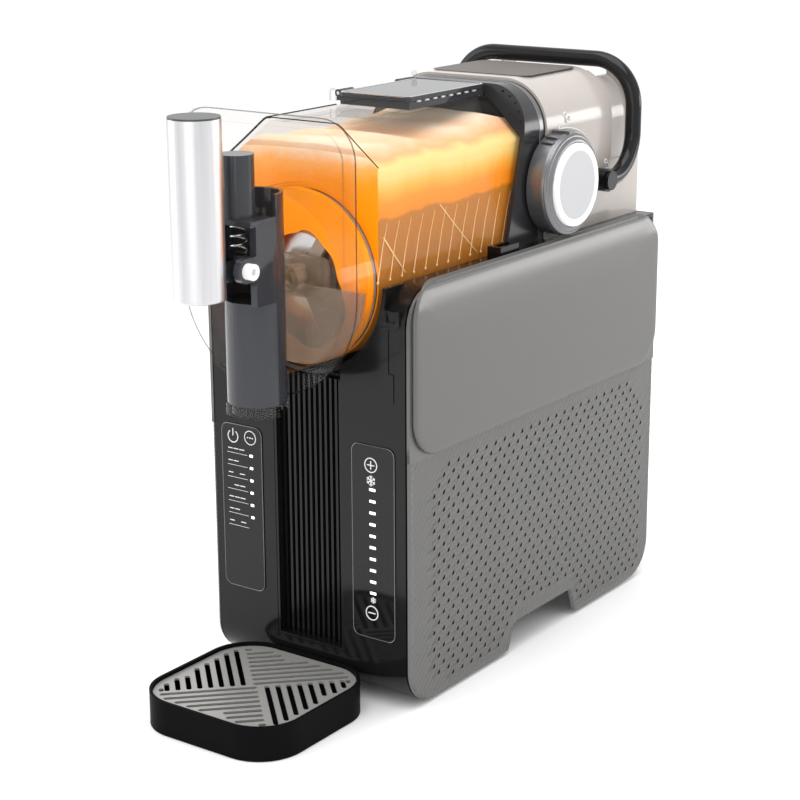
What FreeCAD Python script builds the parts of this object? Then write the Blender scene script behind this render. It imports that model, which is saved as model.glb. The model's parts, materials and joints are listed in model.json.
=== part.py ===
import FreeCAD, Part
import math
import os
import Sketcher
from FreeCAD import Vector, Placement, Rotation

# Countertop frozen-drink (slush) machine, millimetres, +Z up, front faces -Y.
# Design datum: x = 0 on the machine's mid-plane, y = 0 on the front face,
# z = 0 on the lower edge of the side panels.  Every sub-part is placed by
# its Placement from that datum to the part's own frame, whose origin is on
# the floor under the middle of the machine.

os.makedirs("parts", exist_ok=True)
doc = FreeCAD.newDocument("slush_machine")
sheet = doc.addObject("Spreadsheet::Sheet", "Dims")

TABLE = [
    ("datum_y", 107.0, "front face to the middle of the machine's length"),
    ("datum_z", 2.0, "floor to the lower edge of the side panels"),
    ("half_w", 84.9, "mid-plane to the outside of a side panel"),
    ("panel_t", 3.0, "side panel thickness"),
    ("cover_t", 3.1, "smooth cover panel thickness"),
    ("body_d", 330.0, "depth of the cabinet"),
    ("body_h", 290.7, "height of the cabinet above the panel edge"),
    ("belt_z", 176.5, "lower edge of the smooth cover panels"),
    ("cover_top", 294.0, "upper edge of the smooth cover panels"),
    ("r_bottom", 28.0, "lower corner radius of the cabinet"),
    ("r_top", 25.0, "upper corner radius of the cabinet"),
    ("r_cover", 26.0, "corner radius of the cover panels"),
    ("notch_z", 20.0, "height of the air notch in the side panels"),
    ("skin_t", 3.0, "front panel and deck wall"),
    ("inner_w", 81.5, "half width of the front panel and deck"),
    ("seam_z", 265.0, "joint between front panel and deck"),
    ("bay_w", 29.0, "half width of the ribbed bay"),
    ("bay_z", 30.0, "lower edge of the ribbed bay"),
    ("bay_d", 12.0, "depth of the ribbed bay"),
    ("rib_pitch", 4.5, "pitch of the upright ribs"),
    ("axis_z", 292.0, "height of the drum and auger axis"),
    ("trough_r", 64.0, "inner radius of the cradle trough"),
    ("trough_t", 2.8, "wall of the cradle trough"),
    ("vessel_r", 62.0, "outer radius of the vessel's floor"),
    ("vessel_t", 2.5, "vessel wall"),
    ("vessel_back", 177.0, "rear rim of the vessel"),
    ("shoulder_z", 367.0, "top of the vessel's upright sides"),
    ("crown_w", 30.0, "half width of the vessel's flat top"),
    ("crown_z", 393.5, "top of the vessel"),
    ("flange_r", 72.5, "half width of the front flange"),
    ("flange_top", 403.5, "top of the front flange"),
    ("flange_y", -42.5, "front of the front flange"),
    ("flange_t", 5.0, "thickness of the front flange"),
    ("drum_r", 48.0, "evaporator drum outer radius"),
    ("drum_front", 6.0, "front face of the evaporator drum"),
    ("shaft_r", 4.0, "drive shaft radius"),
    ("fit", 0.05, "radial clearance of a running fit"),
    ("screw_r", 57.0, "auger outer radius"),
    ("screw_ri", 50.0, "auger inner radius"),
    ("screw_pitch", 42.0, "auger pitch"),
    ("seal_y", 180.0, "front of the seal plate"),
    ("bulk_y", 188.0, "front of the chassis plate"),
    ("bulk_t", 3.0, "chassis plate thickness"),
    ("gear_m", 1.25, "gear module"),
    ("gear_z", 54.0, "drive gear teeth"),
    ("pinion_z", 18.0, "pinion teeth"),
    ("gear_y", 206.0, "front of the gears"),
    ("gear_w", 12.0, "face width of the gears"),
    ("case_y", 199.0, "front of the gearbox case"),
    ("case_d", 28.0, "depth of the gearbox case"),
    ("motor_r", 27.0, "motor radius"),
    ("motor_l", 78.0, "motor length"),
    ("collar_w", 66.0, "half width of the collar"),
    ("collar_top", 402.0, "top of the collar"),
    ("collar_r", 33.0, "collar shoulder radius"),
    ("collar_back", 194.0, "rear of the collar"),
    ("collar_lean", 15.1, "lean of the collar's front face, degrees"),
    ("housing_w", 67.6, "half width of the motor housing"),
    ("housing_top", 404.0, "top of the motor housing"),
    ("housing_back", 333.0, "rear of the motor housing"),
    ("housing_r", 35.0, "shoulder radius of the motor housing"),
    ("knob_y", 203.0, "lock knob centre, y"),
    ("knob_z", 331.0, "lock knob centre, z"),
    ("knob_r", 36.4, "lock knob radius"),
    ("knob_face_x", 88.0, "outer face of the lock knob"),
    ("bail_r", 6.0, "bail tube radius"),
    ("bail_x", 78.0, "bail arm, half spacing"),
    ("bail_y", 300.0, "bail arm, y"),
    ("bail_z", 408.5, "bail grip, z"),
    ("bail_py", 258.0, "bail pivot, y"),
    ("bail_pz", 326.0, "bail pivot, z"),
    ("lid_y0", 80.0, "front of the fill port"),
    ("lid_y1", 170.0, "rear of the fill port"),
    ("port_w", 29.0, "half width of the fill port"),
    ("lid_z", 399.0, "underside of the lid"),
    ("hinge_x", -32.5, "lid hinge axis, x"),
    ("hinge_z", 400.5, "lid hinge axis, z"),
    ("spout_y", -51.0, "spout and plunger axis, y"),
    ("spout_r", 19.5, "spout outer radius"),
    ("spout_ri", 16.5, "spout bore radius"),
    ("spout_z0", 210.0, "spout mouth, z"),
    ("spout_top", 286.0, "top of the spout tube"),
    ("pivot_y", -81.0, "lever pivot, y"),
    ("pivot_z", 311.0, "lever pivot, z"),
    ("pin_r", 3.0, "lever pivot bolt shank radius"),
    ("spring_y", -65.5, "return spring axis, y"),
    ("lever_y", -104.25, "lever grip axis, y"),
    ("lever_r", 16.75, "lever grip radius"),
    ("lever_z0", 294.7, "bottom of the lever grip"),
    ("lever_z1", 408.7, "top of the lever grip"),
    ("tray_w", 60.0, "half width of the drip tray"),
    ("tray_y0", -120.5, "front of the drip tray"),
    ("tray_y1", -2.0, "rear of the drip tray"),
    ("tray_top", 22.0, "top edge of the drip tray"),
    ("tray_r", 32.0, "corner radius of the drip tray"),
]
sheet.set("A1", "alias")
sheet.set("B1", "value")
sheet.set("C1", "what it is")
for i, (alias, value, note) in enumerate(TABLE):
    row = i + 2
    sheet.set("A%d" % row, alias)
    sheet.set("B%d" % row, repr(float(value)))
    sheet.set("C%d" % row, note)
    sheet.setAlias("B%d" % row, alias)
doc.recompute()


class Q:
    """A length that knows its number and its spreadsheet expression."""

    def __init__(self, v, e):
        self.v = float(v)
        self.e = e

    def __add__(self, o):
        o = q(o)
        return Q(self.v + o.v, "(%s + %s)" % (self.e, o.e))

    __radd__ = __add__

    def __sub__(self, o):
        o = q(o)
        return Q(self.v - o.v, "(%s - %s)" % (self.e, o.e))

    def __rsub__(self, o):
        return q(o) - self

    def __mul__(self, o):
        o = q(o)
        return Q(self.v * o.v, "(%s * %s)" % (self.e, o.e))

    __rmul__ = __mul__

    def __truediv__(self, o):
        o = q(o)
        return Q(self.v / o.v, "(%s / %s)" % (self.e, o.e))

    def __neg__(self):
        return Q(-self.v, "(0 - %s)" % self.e)


def q(o):
    return o if isinstance(o, Q) else Q(o, "(%r)" % float(o))


class Names:
    pass


d = Names()
for alias, value, note in TABLE:
    setattr(d, alias, Q(sheet.get(alias), "Dims." + alias))

NODES = []
COUNT = [0]


def uid(stem):
    COUNT[0] += 1
    return "%s_%03d" % (stem, COUNT[0])


def bind(obj, prop, val):
    val = q(val)
    obj.setExpression(prop, val.e)


ROT = {"Z": Rotation(), "Y": Rotation(Vector(1, 0, 0), -90), "X": Rotation(Vector(0, 1, 0), 90)}


def put(obj, x, y, z, rot=None):
    x, y, z = q(x), q(y), q(z)
    obj.Placement = Placement(Vector(x.v, y.v, z.v), rot or Rotation())
    for c, v in (("x", x), ("y", y), ("z", z)):
        bind(obj, "Placement.Base." + c, v)
    return obj


def box(x0, x1, y0, y1, z0, z1):
    o = doc.addObject("Part::Box", uid("box"))
    x0, x1, y0, y1, z0, z1 = [q(v) for v in (x0, x1, y0, y1, z0, z1)]
    bind(o, "Length", x1 - x0)
    bind(o, "Width", y1 - y0)
    bind(o, "Height", z1 - z0)
    return put(o, x0, y0, z0)


def cyl(axis, c0, c1, a0, a1, r):
    """Cylinder along an axis; c0, c1 are the two other coordinates in x, y, z order."""
    o = doc.addObject("Part::Cylinder", uid("cyl"))
    a0, a1 = q(a0), q(a1)
    bind(o, "Radius", r)
    bind(o, "Height", a1 - a0)
    p = {"X": (a0, c0, c1), "Y": (c0, a0, c1), "Z": (c0, c1, a0)}[axis]
    return put(o, p[0], p[1], p[2], ROT[axis])


def cone(axis, c0, c1, a0, a1, r0, r1):
    o = doc.addObject("Part::Cone", uid("cone"))
    a0, a1 = q(a0), q(a1)
    bind(o, "Radius1", r0)
    bind(o, "Radius2", r1)
    bind(o, "Height", a1 - a0)
    p = {"X": (a0, c0, c1), "Y": (c0, a0, c1), "Z": (c0, c1, a0)}[axis]
    return put(o, p[0], p[1], p[2], ROT[axis])


def torus(axis, x, y, z, r1, r2):
    o = doc.addObject("Part::Torus", uid("torus"))
    bind(o, "Radius1", r1)
    bind(o, "Radius2", r2)
    return put(o, x, y, z, ROT[axis])


def fuse(*objs):
    objs = [o for o in objs]
    if len(objs) == 1:
        return objs[0]
    o = doc.addObject("Part::MultiFuse", uid("fuse"))
    o.Shapes = objs
    return o


def cut(base, *tools):
    o = doc.addObject("Part::Cut", uid("cut"))
    o.Base = base
    o.Tool = fuse(*tools)
    return o


def common(a, b):
    o = doc.addObject("Part::MultiCommon", uid("common"))
    o.Shapes = [a, b]
    return o


def fillet(base, radius, pick):
    """Round the edges that pick(edge) chooses."""
    doc.recompute()
    o = doc.addObject("Part::Fillet", uid("fillet"))
    o.Base = base
    ids = [i + 1 for i, e in enumerate(base.Shape.Edges) if pick(e)]
    if not ids:
        raise RuntimeError("no edge to round on " + base.Name)
    o.Edges = [(i, float(radius), float(radius)) for i in ids]
    doc.recompute()
    return o


def along(e, axis):
    if len(e.Vertexes) < 2 or not isinstance(e.Curve, (Part.Line, Part.LineSegment)):
        return False
    v = e.Vertexes[1].Point - e.Vertexes[0].Point
    v.normalize()
    return abs(v.dot(axis)) > 0.999


AX = Vector(1, 0, 0)
AY = Vector(0, 1, 0)
AZ = Vector(0, 0, 1)


def feature(shape):
    o = doc.addObject("Part::Feature", uid("shape"))
    o.Shape = shape
    return o


def node(label, obj):
    """Give a finished sub-part its own name and its place in the part's frame."""
    if obj.TypeId in ("Part::Box", "Part::Cylinder", "Part::Cone", "Part::Torus"):
        e = {}
        for path, ex in obj.ExpressionEngine:
            e[path.lstrip(".")] = ex
        obj.setExpression("Placement.Base.y", e["Placement.Base.y"] + " - Dims.datum_y")
        obj.setExpression("Placement.Base.z", e["Placement.Base.z"] + " + Dims.datum_z")
    else:
        base = obj.Placement.Base
        obj.Placement = Placement(Vector(base.x, base.y - d.datum_y.v, base.z + d.datum_z.v), obj.Placement.Rotation)
        obj.setExpression("Placement.Base.y", "%r - Dims.datum_y" % base.y)
        obj.setExpression("Placement.Base.z", "%r + Dims.datum_z" % base.z)
    obj.Label = label
    NODES.append((label, obj))
    return obj


class Body:
    """A PartDesign body built from dimensioned sketches on its own origin planes."""

    NORMAL = {"XY_Plane": 1, "YZ_Plane": 1, "XZ_Plane": -1}

    def __init__(self, name):
        self.b = doc.addObject("PartDesign::Body", uid(name))

    def plane(self, role):
        for f in self.b.Origin.OriginFeatures:
            if f.Role == role:
                return f
        raise RuntimeError(role)

    def sketch(self, role, at):
        s = self.b.newObject("Sketcher::SketchObject", uid("sk"))
        s.AttachmentSupport = (self.plane(role), "")
        s.MapMode = "FlatFace"
        at = q(at) if self.NORMAL[role] > 0 else -q(at)
        s.AttachmentOffset = Placement(Vector(0, 0, at.v), Rotation())
        s.setExpression("AttachmentOffset.Base.z", at.e)
        return s

    def pad(self, role, lo, hi, draw):
        s = self.sketch(role, lo)
        draw(s)
        f = self.b.newObject("PartDesign::Pad", uid("pad"))
        f.Profile = s
        f.Length = (q(hi) - q(lo)).v
        bind(f, "Length", q(hi) - q(lo))
        f.Reversed = self.NORMAL[role] < 0
        s.Visibility = False
        doc.recompute()
        return f

    def pocket(self, role, lo, hi, draw):
        before = self.b.Shape.Volume
        s = self.sketch(role, lo)
        draw(s)
        f = self.b.newObject("PartDesign::Pocket", uid("pocket"))
        f.Profile = s
        f.Length = (q(hi) - q(lo)).v
        bind(f, "Length", q(hi) - q(lo))
        f.Reversed = self.NORMAL[role] > 0
        s.Visibility = False
        doc.recompute()
        if self.b.Shape.Volume > before - 1e-3:
            raise RuntimeError("pocket cuts nothing in " + self.b.Name)
        return f

    def round(self, radius, pick):
        doc.recompute()
        tip = self.b.Tip
        ids = ["Edge%d" % (i + 1) for i, e in enumerate(tip.Shape.Edges) if pick(e)]
        if not ids:
            raise RuntimeError("no edge to round in " + self.b.Name)
        f = self.b.newObject("PartDesign::Fillet", uid("round"))
        f.Base = (tip, ids)
        f.Radius = q(radius).v
        bind(f, "Radius", radius)
        doc.recompute()
        return f

    def row(self, feat, axis, length, count):
        """Repeat a feature along a direction of its own sketch."""
        p = self.b.newObject("PartDesign::LinearPattern", uid("row"))
        p.Originals = [feat]
        p.Direction = (feat.Profile[0], [axis])
        p.Length = q(length).v
        bind(p, "Length", length)
        p.Occurrences = count
        self.b.Tip = p
        doc.recompute()
        return p


def poly(s, pts):
    """Closed straight outline with every corner dimensioned from the sheet."""
    pts = [(q(a), q(b)) for a, b in pts]
    n = len(pts)
    first = s.GeometryCount
    for i in range(n):
        a, b = pts[i], pts[(i + 1) % n]
        s.addGeometry(Part.LineSegment(Vector(a[0].v, a[1].v, 0), Vector(b[0].v, b[1].v, 0)), False)
    for i in range(n):
        s.addConstraint(Sketcher.Constraint("Coincident", first + i, 2, first + (i + 1) % n, 1))
    for i in range(n):
        a = pts[i]
        for kind, val in (("DistanceX", a[0]), ("DistanceY", a[1])):
            if abs(val.v) < 1e-9:
                if kind == "DistanceX":
                    s.addConstraint(Sketcher.Constraint("PointOnObject", first + i, 1, -2))
                else:
                    s.addConstraint(Sketcher.Constraint("PointOnObject", first + i, 1, -1))
                continue
            k = s.addConstraint(Sketcher.Constraint(kind, -1, 1, first + i, 1, val.v))
            s.setExpression("Constraints[%d]" % k, val.e)


def rect(s, u0, u1, v0, v1):
    poly(s, [(u0, v0), (u1, v0), (u1, v1), (u0, v1)])


def circle(s, cu, cv, r):
    cu, cv, r = q(cu), q(cv), q(r)
    g = s.addGeometry(Part.Circle(Vector(cu.v, cv.v, 0), Vector(0, 0, 1), r.v), False)
    if abs(cu.v) < 1e-9:
        s.addConstraint(Sketcher.Constraint("PointOnObject", g, 3, -2))
    else:
        k = s.addConstraint(Sketcher.Constraint("DistanceX", -1, 1, g, 3, cu.v))
        s.setExpression("Constraints[%d]" % k, cu.e)
    k = s.addConstraint(Sketcher.Constraint("DistanceY", -1, 1, g, 3, cv.v))
    s.setExpression("Constraints[%d]" % k, cv.e)
    k = s.addConstraint(Sketcher.Constraint("Radius", g, r.v))
    s.setExpression("Constraints[%d]" % k, r.e)


def mid(e):
    return e.valueAt((e.FirstParameter + e.LastParameter) / 2.0)


def near(a, b, tol=0.3):
    return abs(a - q(b).v) < tol


# ---------------------------------------------------------------- cabinet
# Side panels: 3 mm plates with rounded corners, an air notch in the lower
# edge and a field of oblong vent holes.
def side_panel(sign):
    b = Body("side_panel")
    lo, hi = (d.half_w - d.panel_t, d.half_w) if sign > 0 else (-d.half_w, d.panel_t - d.half_w)
    b.pad("YZ_Plane", lo, hi, lambda s: poly(s, [
        (0, 0), (124, 0), (133, d.notch_z), (209, d.notch_z), (217, 0), (d.body_d, 0),
        (d.body_d, d.body_h), (0, d.body_h)]))
    b.round(d.r_bottom, lambda e: along(e, AX) and near(mid(e).z, 0) and (near(mid(e).y, 0) or near(mid(e).y, d.body_d)))
    b.round(d.r_top, lambda e: along(e, AX) and near(mid(e).z, d.body_h))
    b.round(3.0, lambda e: along(e, AX) and 120 < mid(e).y < 220)
    b.round(2.2, lambda e: near(mid(e).x, sign * d.half_w.v, 0.01))

    def column(s):
        for k in range(7):
            z = 42 + 17.0 * k
            rect(s, 22.5, 26.0, z, z + 5.0)
    f = b.pocket("YZ_Plane", lo - 1, hi + 1, column)
    b.row(f, "H_Axis", 280, 15)
    return b.b


node("side_panel_right", side_panel(1))
node("side_panel_left", side_panel(-1))


# Smooth cover panels over the upper part of the sides, turned in at the top.
def cover_panel(sign):
    b = Body("cover_panel")
    if sign > 0:
        lo, hi = d.half_w, d.half_w + d.cover_t
        tx0, tx1 = d.inner_w - 1.5, d.half_w
    else:
        lo, hi = -(d.half_w + d.cover_t), -d.half_w
        tx0, tx1 = -d.half_w, 1.5 - d.inner_w
    b.pad("YZ_Plane", lo, hi, lambda s: rect(s, 3, d.body_d - 2, d.belt_z, d.cover_top))
    b.round(d.r_cover, lambda e: along(e, AX))
    b.pad("XY_Plane", d.body_h + 0.2, d.cover_top, lambda s: rect(s, tx0, tx1, 29, d.body_d - 28))
    b.round(2.6, lambda e: near(mid(e).x, sign * (d.half_w.v + d.cover_t.v), 0.01))
    return b.b


node("cover_panel_right", cover_panel(1))
node("cover_panel_left", cover_panel(-1))

# Front panel: bent skin with a bay for the ribbed insert, a round cut for the
# cradle and a stepped parting groove.
b = Body("front_panel")
b.pad("YZ_Plane", -d.inner_w, d.inner_w, lambda s: poly(s, [
    (0, d.seam_z), (0, 0), (38, 0), (38, d.skin_t), (d.skin_t, d.skin_t), (d.skin_t, d.seam_z)]))
b.round(d.r_bottom, lambda e: along(e, AX) and near(mid(e).y, 0) and near(mid(e).z, 0))
b.round(d.r_bottom - d.skin_t, lambda e: along(e, AX) and near(mid(e).y, d.skin_t) and near(mid(e).z, d.skin_t))
b.pocket("XZ_Plane", -1, 8, lambda s: rect(s, -d.bay_w, d.bay_w, d.bay_z, 240))
b.pocket("XZ_Plane", -1, 8, lambda s: circle(s, 0, d.axis_z, d.trough_r + d.trough_t))
b.pocket("XZ_Plane", -1, 0.8, lambda s: poly(s, [
    (68.2, 263), (69.0, 263), (69.0, 234.8), (73.0, 234.8), (73.0, 215), (72.2, 215), (72.2, 234.0), (68.2, 234.0)]))
node("front_panel", b.b)

# Ribbed insert that closes the bay.
ribs = [box(d.rib_pitch * (k - 5.5) - 1.0, d.rib_pitch * (k - 5.5) + 1.0, 6, d.bay_d + 0.5, 26, 222) for k in range(12)]
node("rib_insert", fuse(
    box(0.2 - d.bay_w, d.bay_w - 0.2, d.bay_d, d.bay_d + 2, 24, 224),
    box(0.2 - d.bay_w, 2 - d.bay_w, 0.3, d.bay_d + 1, d.bay_z + 0.2, 224),
    box(d.bay_w - 2, d.bay_w - 0.2, 0.3, d.bay_d + 1, d.bay_z + 0.2, 224),
    box(0.2 - d.bay_w, d.bay_w - 0.2, 0.3, d.bay_d + 1, d.bay_z + 0.2, d.bay_z + 2.2), *ribs))


# Touch strips with rounded corners on the front face.
def strip(x0, x1, z0, z1):
    b = Body("strip")
    b.pad("XZ_Plane", -0.8, 0, lambda s: rect(s, x0, x1, z0, z1))
    b.round(6, lambda e: along(e, AY))
    b.round(0.5, lambda e: near(mid(e).y, -0.8, 0.01))
    return b.b


node("touch_strip_left", strip(-75.6, -39.5, 58, 178.5))
node("touch_strip_right", strip(37.8, 73.2, 46, 183.5))

# Deck with its trough for the vessel, the catches and the row of drain holes.
b = Body("deck")
b.pad("YZ_Plane", -d.inner_w, d.inner_w, lambda s: poly(s, [
    (0, d.seam_z + 0.1), (0, d.body_h), (327, d.body_h), (327, d.body_h - d.skin_t),
    (d.skin_t, d.body_h - d.skin_t), (d.skin_t, d.seam_z + 0.1)]))
b.round(d.r_top, lambda e: along(e, AX) and near(mid(e).y, 0) and near(mid(e).z, d.body_h))
b.round(d.r_top - d.skin_t, lambda e: along(e, AX) and near(mid(e).y, d.skin_t) and near(mid(e).z, d.body_h - d.skin_t))
b.pocket("XY_Plane", d.body_h - 10, d.body_h + 1, lambda s: rect(s, -60, 60, d.bulk_y, 322))
tube = cut(cyl("Y", 0, d.axis_z, 0, d.bulk_y, d.trough_r + d.trough_t), box(-90, 90, -5, 200, d.body_h, 380))
deck = fuse(b.b, tube)
tools = [cyl("Y", 0, d.axis_z, -1, d.bulk_y - 2, d.trough_r)]
tools.append(cyl("Y", 0, d.axis_z, d.bulk_y - 3, d.bulk_y + 1, d.screw_r))
for sx in (-1, 1):
    for yy in (34, 58, 82, 106):
        tools.append(cyl("Z", 75.0 * sx, yy, 280, 300, 1.4))
deck = cut(deck, *tools)
catches = []
for sx in (-1, 1):
    x0, x1 = (64.5, 77.5) if sx > 0 else (-77.5, -64.5)
    catches.append(cut(box(x0, x1, -0.9, 6, 266.5, 276.5), box(x0 + 3, x1 - 3, -2, 0.4, 269, 274)))
    x0, x1 = (67.5, 78.5) if sx > 0 else (-78.5, -67.5)
    catches.append(cut(box(x0, x1, 118, 141, d.body_h - 1, d.body_h + 8), box(x0 + 3, x1 - 3, 121, 138, d.body_h + 3, d.body_h + 9)))
node("cradle_deck", fuse(deck, *catches))

# Base pan on four hollow legs, with a turned-up rim.
legs = []
for sx in (-1, 1):
    for yy in (42, 276):
        x0, x1 = (50, 78) if sx > 0 else (-78, -50)
        legs.append(cut(box(x0, x1, yy, yy + 30, 1.5, 21), box(x0 + 3, x1 - 3, yy + 3, yy + 27, 6, 22)))
pan = fuse(box(-81.3, 81.3, 30, 326.5, 20, 23), box(-81.3, -79.3, 30, 326.5, 22, 34), box(79.3, 81.3, 30, 326.5, 22, 34), *legs)
node("base_pan", cut(pan, box(-30, 30, 200, 260, 19, 24)))
node("feet", fuse(*[cyl("Z", 64.0 * sx, yy + 15, -2, 1.5, 11) for sx in (-1, 1) for yy in (42, 276)]))

# Rear cover with louvre slots, inlet cut-out and moulded wall spacers.
b = Body("rear_cover")
b.pad("XZ_Plane", 327, d.body_d, lambda s: rect(s, -d.inner_w, d.inner_w, 24, d.body_h))


def louvres(s):
    rect(s, -66, -6, 120, 124)
    rect(s, 6, 66, 120, 124)


f = b.pocket("XZ_Plane", 320, 335, louvres)
b.row(f, "V_Axis", 120, 13)
b.pocket("XZ_Plane", 320, 335, lambda s: rect(s, -64.2, -35.8, 49.8, 70.2))
studs = [fuse(cyl("Y", 60.0 * sx, zz, 328, 335, 6)) for sx in (-1, 1) for zz in (100, 270)]
node("rear_cover", fuse(b.b, *studs))

# Mains inlet, its socket and three pins.
inlet = cut(box(-64, -36, 310, 330, 50, 70), box(-62, -38, 316, 331, 52, 68))
pins = [box(-51, -49, 312, 327, 62, 66), box(-58, -56, 312, 327, 54, 58), box(-44, -42, 312, 327, 54, 58)]
node("mains_inlet", fuse(inlet, cut(box(-67, -33, 330, 332, 47, 73), box(-62, -38, 329, 333, 52, 68)), *pins))

# Chassis plate that carries the drum, gearbox and motor.
b = Body("chassis")
b.pad("XZ_Plane", d.bulk_y, d.bulk_y + d.bulk_t, lambda s: rect(s, -59.5, 59.5, 23, 386))
b.round(28, lambda e: along(e, AY) and mid(e).z > 300)
b.pocket("XZ_Plane", d.bulk_y - 1, d.bulk_y + 6, lambda s: circle(s, 0, d.axis_z, d.shaft_r + 2))
b.pocket("XZ_Plane", d.bulk_y - 1, d.bulk_y + 6, lambda s: circle(s, -30, d.axis_z - 20, 5.5))
# Window for the fan duct and the liquid line.
b.pocket("XZ_Plane", d.bulk_y - 1, d.bulk_y + 6, lambda s: rect(s, -60.5, -33.5, 22, 171))
node("chassis_plate", b.b)


# ---------------------------------------------------------------- vessel section
def vessel_prism(y0, y1, off):
    """Solid of the vessel's arch section, offset outward by off."""
    w = d.vessel_r + off
    c = d.crown_w + q(off) * 0.6
    zt = d.crown_z + off
    wd = doc.addObject("Part::Wedge", uid("wedge"))
    y0, y1 = q(y0), q(y1)
    for prop, val in (("Xmin", -w), ("Xmax", w), ("Ymin", 0), ("Ymax", zt - d.shoulder_z), ("Zmin", 0), ("Zmax", y1 - y0),
                      ("X2min", -c), ("X2max", c), ("Z2min", 0), ("Z2max", y1 - y0)):
        val = q(val)
        bind(wd, prop, val)
    put(wd, 0, y1, d.shoulder_z, Rotation(Vector(1, 0, 0), 90))
    return fuse(cyl("Y", 0, d.axis_z, y0, y1, w), box(-w, w, y0, y1, d.axis_z, d.shoulder_z), wd)


# Front flange: half-round below, rounded corners above.
fl_back = d.flange_y + d.flange_t
flange = fillet(box(-d.flange_r, d.flange_r, d.flange_y, fl_back, d.axis_z, d.flange_top), 26,
                lambda e: along(e, AY) and mid(e).z > 390)
flange = fuse(flange, cyl("Y", 0, d.axis_z, d.flange_y, fl_back, d.flange_r))
# Thin dish on the flange's front so that a raised rim is left all round.
dish = fillet(box(7.5 - d.flange_r, d.flange_r - 7.5, d.flange_y - 1, d.flange_y + 1.5, d.axis_z, d.flange_top - 7.5), 20,
              lambda e: along(e, AY) and mid(e).z > 380)
dish = fuse(dish, cyl("Y", 0, d.axis_z, d.flange_y - 1, d.flange_y + 1.5, d.flange_r - 7.5))
outer = fuse(vessel_prism(0, d.vessel_back, 0), cyl("Y", 0, d.axis_z, fl_back - 0.5, 1, d.vessel_r), flange)
lugs = fuse(box(-67, 67, 128, 137, d.axis_z + 0.4, d.axis_z + 4))
inner = fuse(vessel_prism(d.vessel_t, d.vessel_back + 1, -d.vessel_t), cyl("Y", 0, d.axis_z, fl_back, d.vessel_t + 1, d.vessel_r - d.vessel_t))
port_hole = box(3 - d.port_w, d.port_w - 3, d.lid_y0 + 3, d.lid_y1 - 3, d.crown_z - 6, d.crown_z + 2)
socket = cyl("Z", 0, d.spout_y, d.spout_z0 - 5, 356, d.spout_r)
node("vessel_shell", cut(fuse(outer, lugs), inner, dish, port_hole, socket))

# Fill port frame with hinge knuckles on its left side.
frame = cut(box(-d.port_w, d.port_w, d.lid_y0, d.lid_y1, d.crown_z, d.lid_z - 0.3),
            box(3 - d.port_w, d.port_w - 3, d.lid_y0 + 3, d.lid_y1 - 3, d.crown_z - 1, d.lid_z))
kn = []
for y0, y1 in ((82, 88), (162, 168)):
    kn.append(fuse(cyl("Y", d.hinge_x, d.hinge_z, y0, y1, 2.6), box(d.hinge_x - 1.2, 1 - d.port_w, y0, y1, d.crown_z + 2, d.hinge_z - 1.8)))
node("fill_port", cut(fuse(frame, *kn), cyl("Y", d.hinge_x, d.hinge_z, 81, 170, 1.2)))
# Lid with its locating lip and knuckles.
lid = fillet(box(-29.5, 29.5, d.lid_y0 - 1, d.lid_y1 + 1, d.lid_z, d.lid_z + 3), 3.0, lambda e: along(e, AZ))
lip = cut(box(-25.5, 25.5, d.lid_y0 + 3.5, d.lid_y1 - 3.5, d.lid_z - 3, d.lid_z + 0.5), box(-23.5, 23.5, d.lid_y0 + 5.5, d.lid_y1 - 5.5, d.lid_z - 4, d.lid_z))
lk = [fuse(cyl("Y", d.hinge_x, d.hinge_z, y0, y1, 2.6), box(d.hinge_x, -28.5, y0, y1, d.lid_z + 0.4, d.lid_z + 2.6)) for y0, y1 in ((88.5, 98), (152, 161.5))]
node("lid", cut(fuse(lid, lip, *lk), cyl("Y", d.hinge_x, d.hinge_z, 84, 170, Q(1.2, "(1.2)") + d.fit)))
node("hinge_pin", cyl("Y", d.hinge_x, d.hinge_z, 82, 168, 1.2))

# ---------------------------------------------------------------- tap
# Clear smoked tube set into the front of the vessel; its rear wall runs on
# upward as a half-round shroud and has the outlet port.
tube = cyl("Z", 0, d.spout_y, d.spout_z0 + 7.5, d.spout_top, d.spout_r)
shroud = cut(cyl("Z", 0, d.spout_y, d.spout_top - 1, 355, d.spout_r), cyl("Z", 0, d.spout_y, d.spout_top - 2, 356, d.spout_r - 2.2),
             box(-30, 30, -90, d.spout_y - 1, d.spout_top, 360))
tap = cut(fuse(tube, shroud), cyl("Z", 0, d.spout_y, d.spout_z0, d.spout_top - 3, d.spout_ri),
          cyl("Z", 0, d.spout_y, d.spout_top - 4, d.spout_top + 1, d.shaft_r + 0.3),
          box(-8, 8, d.spout_y + 5, d.spout_y + 25, 234, 247))
node("tap_body", tap)
node("spout_ring", cut(cyl("Z", 0, d.spout_y, d.spout_z0, d.spout_z0 + 7.5, d.spout_r + 0.9), cyl("Z", 0, d.spout_y, d.spout_z0 - 1, d.spout_z0 + 9, d.spout_ri)))
# Cowl: two cheeks with the pivot ears, tied by a bridge over the arms.
cheeks = []
for sx in (-1, 1):
    x0, x1 = (14.5, 19.5) if sx > 0 else (-19.5, -14.5)
    cheeks.append(box(x0, x1, -72, d.spout_y - 1.1, d.spout_top, 341))
    cheeks.append(box(x0, x1, d.pivot_y, -71, d.pivot_z - 8, d.pivot_z + 8))
    cheeks.append(cyl("X", d.pivot_y, d.pivot_z, x0, x1, 8))
bridge = box(-19.5, 19.5, -77, -56, 337.5, 341)
cowl = cut(fuse(bridge, *cheeks),
           cyl("X", d.pivot_y, d.pivot_z, -30, 30, d.pin_r), cyl("Z", 0, d.spring_y, 330, 350, 7.5))
node("tap_cowl", cowl)
tb = cut(cyl("Z", 0, d.spring_y, 341, 381, 11), cyl("Z", 0, d.spring_y, 340, 378, 8.5))
node("spring_tube", tb)
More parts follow.
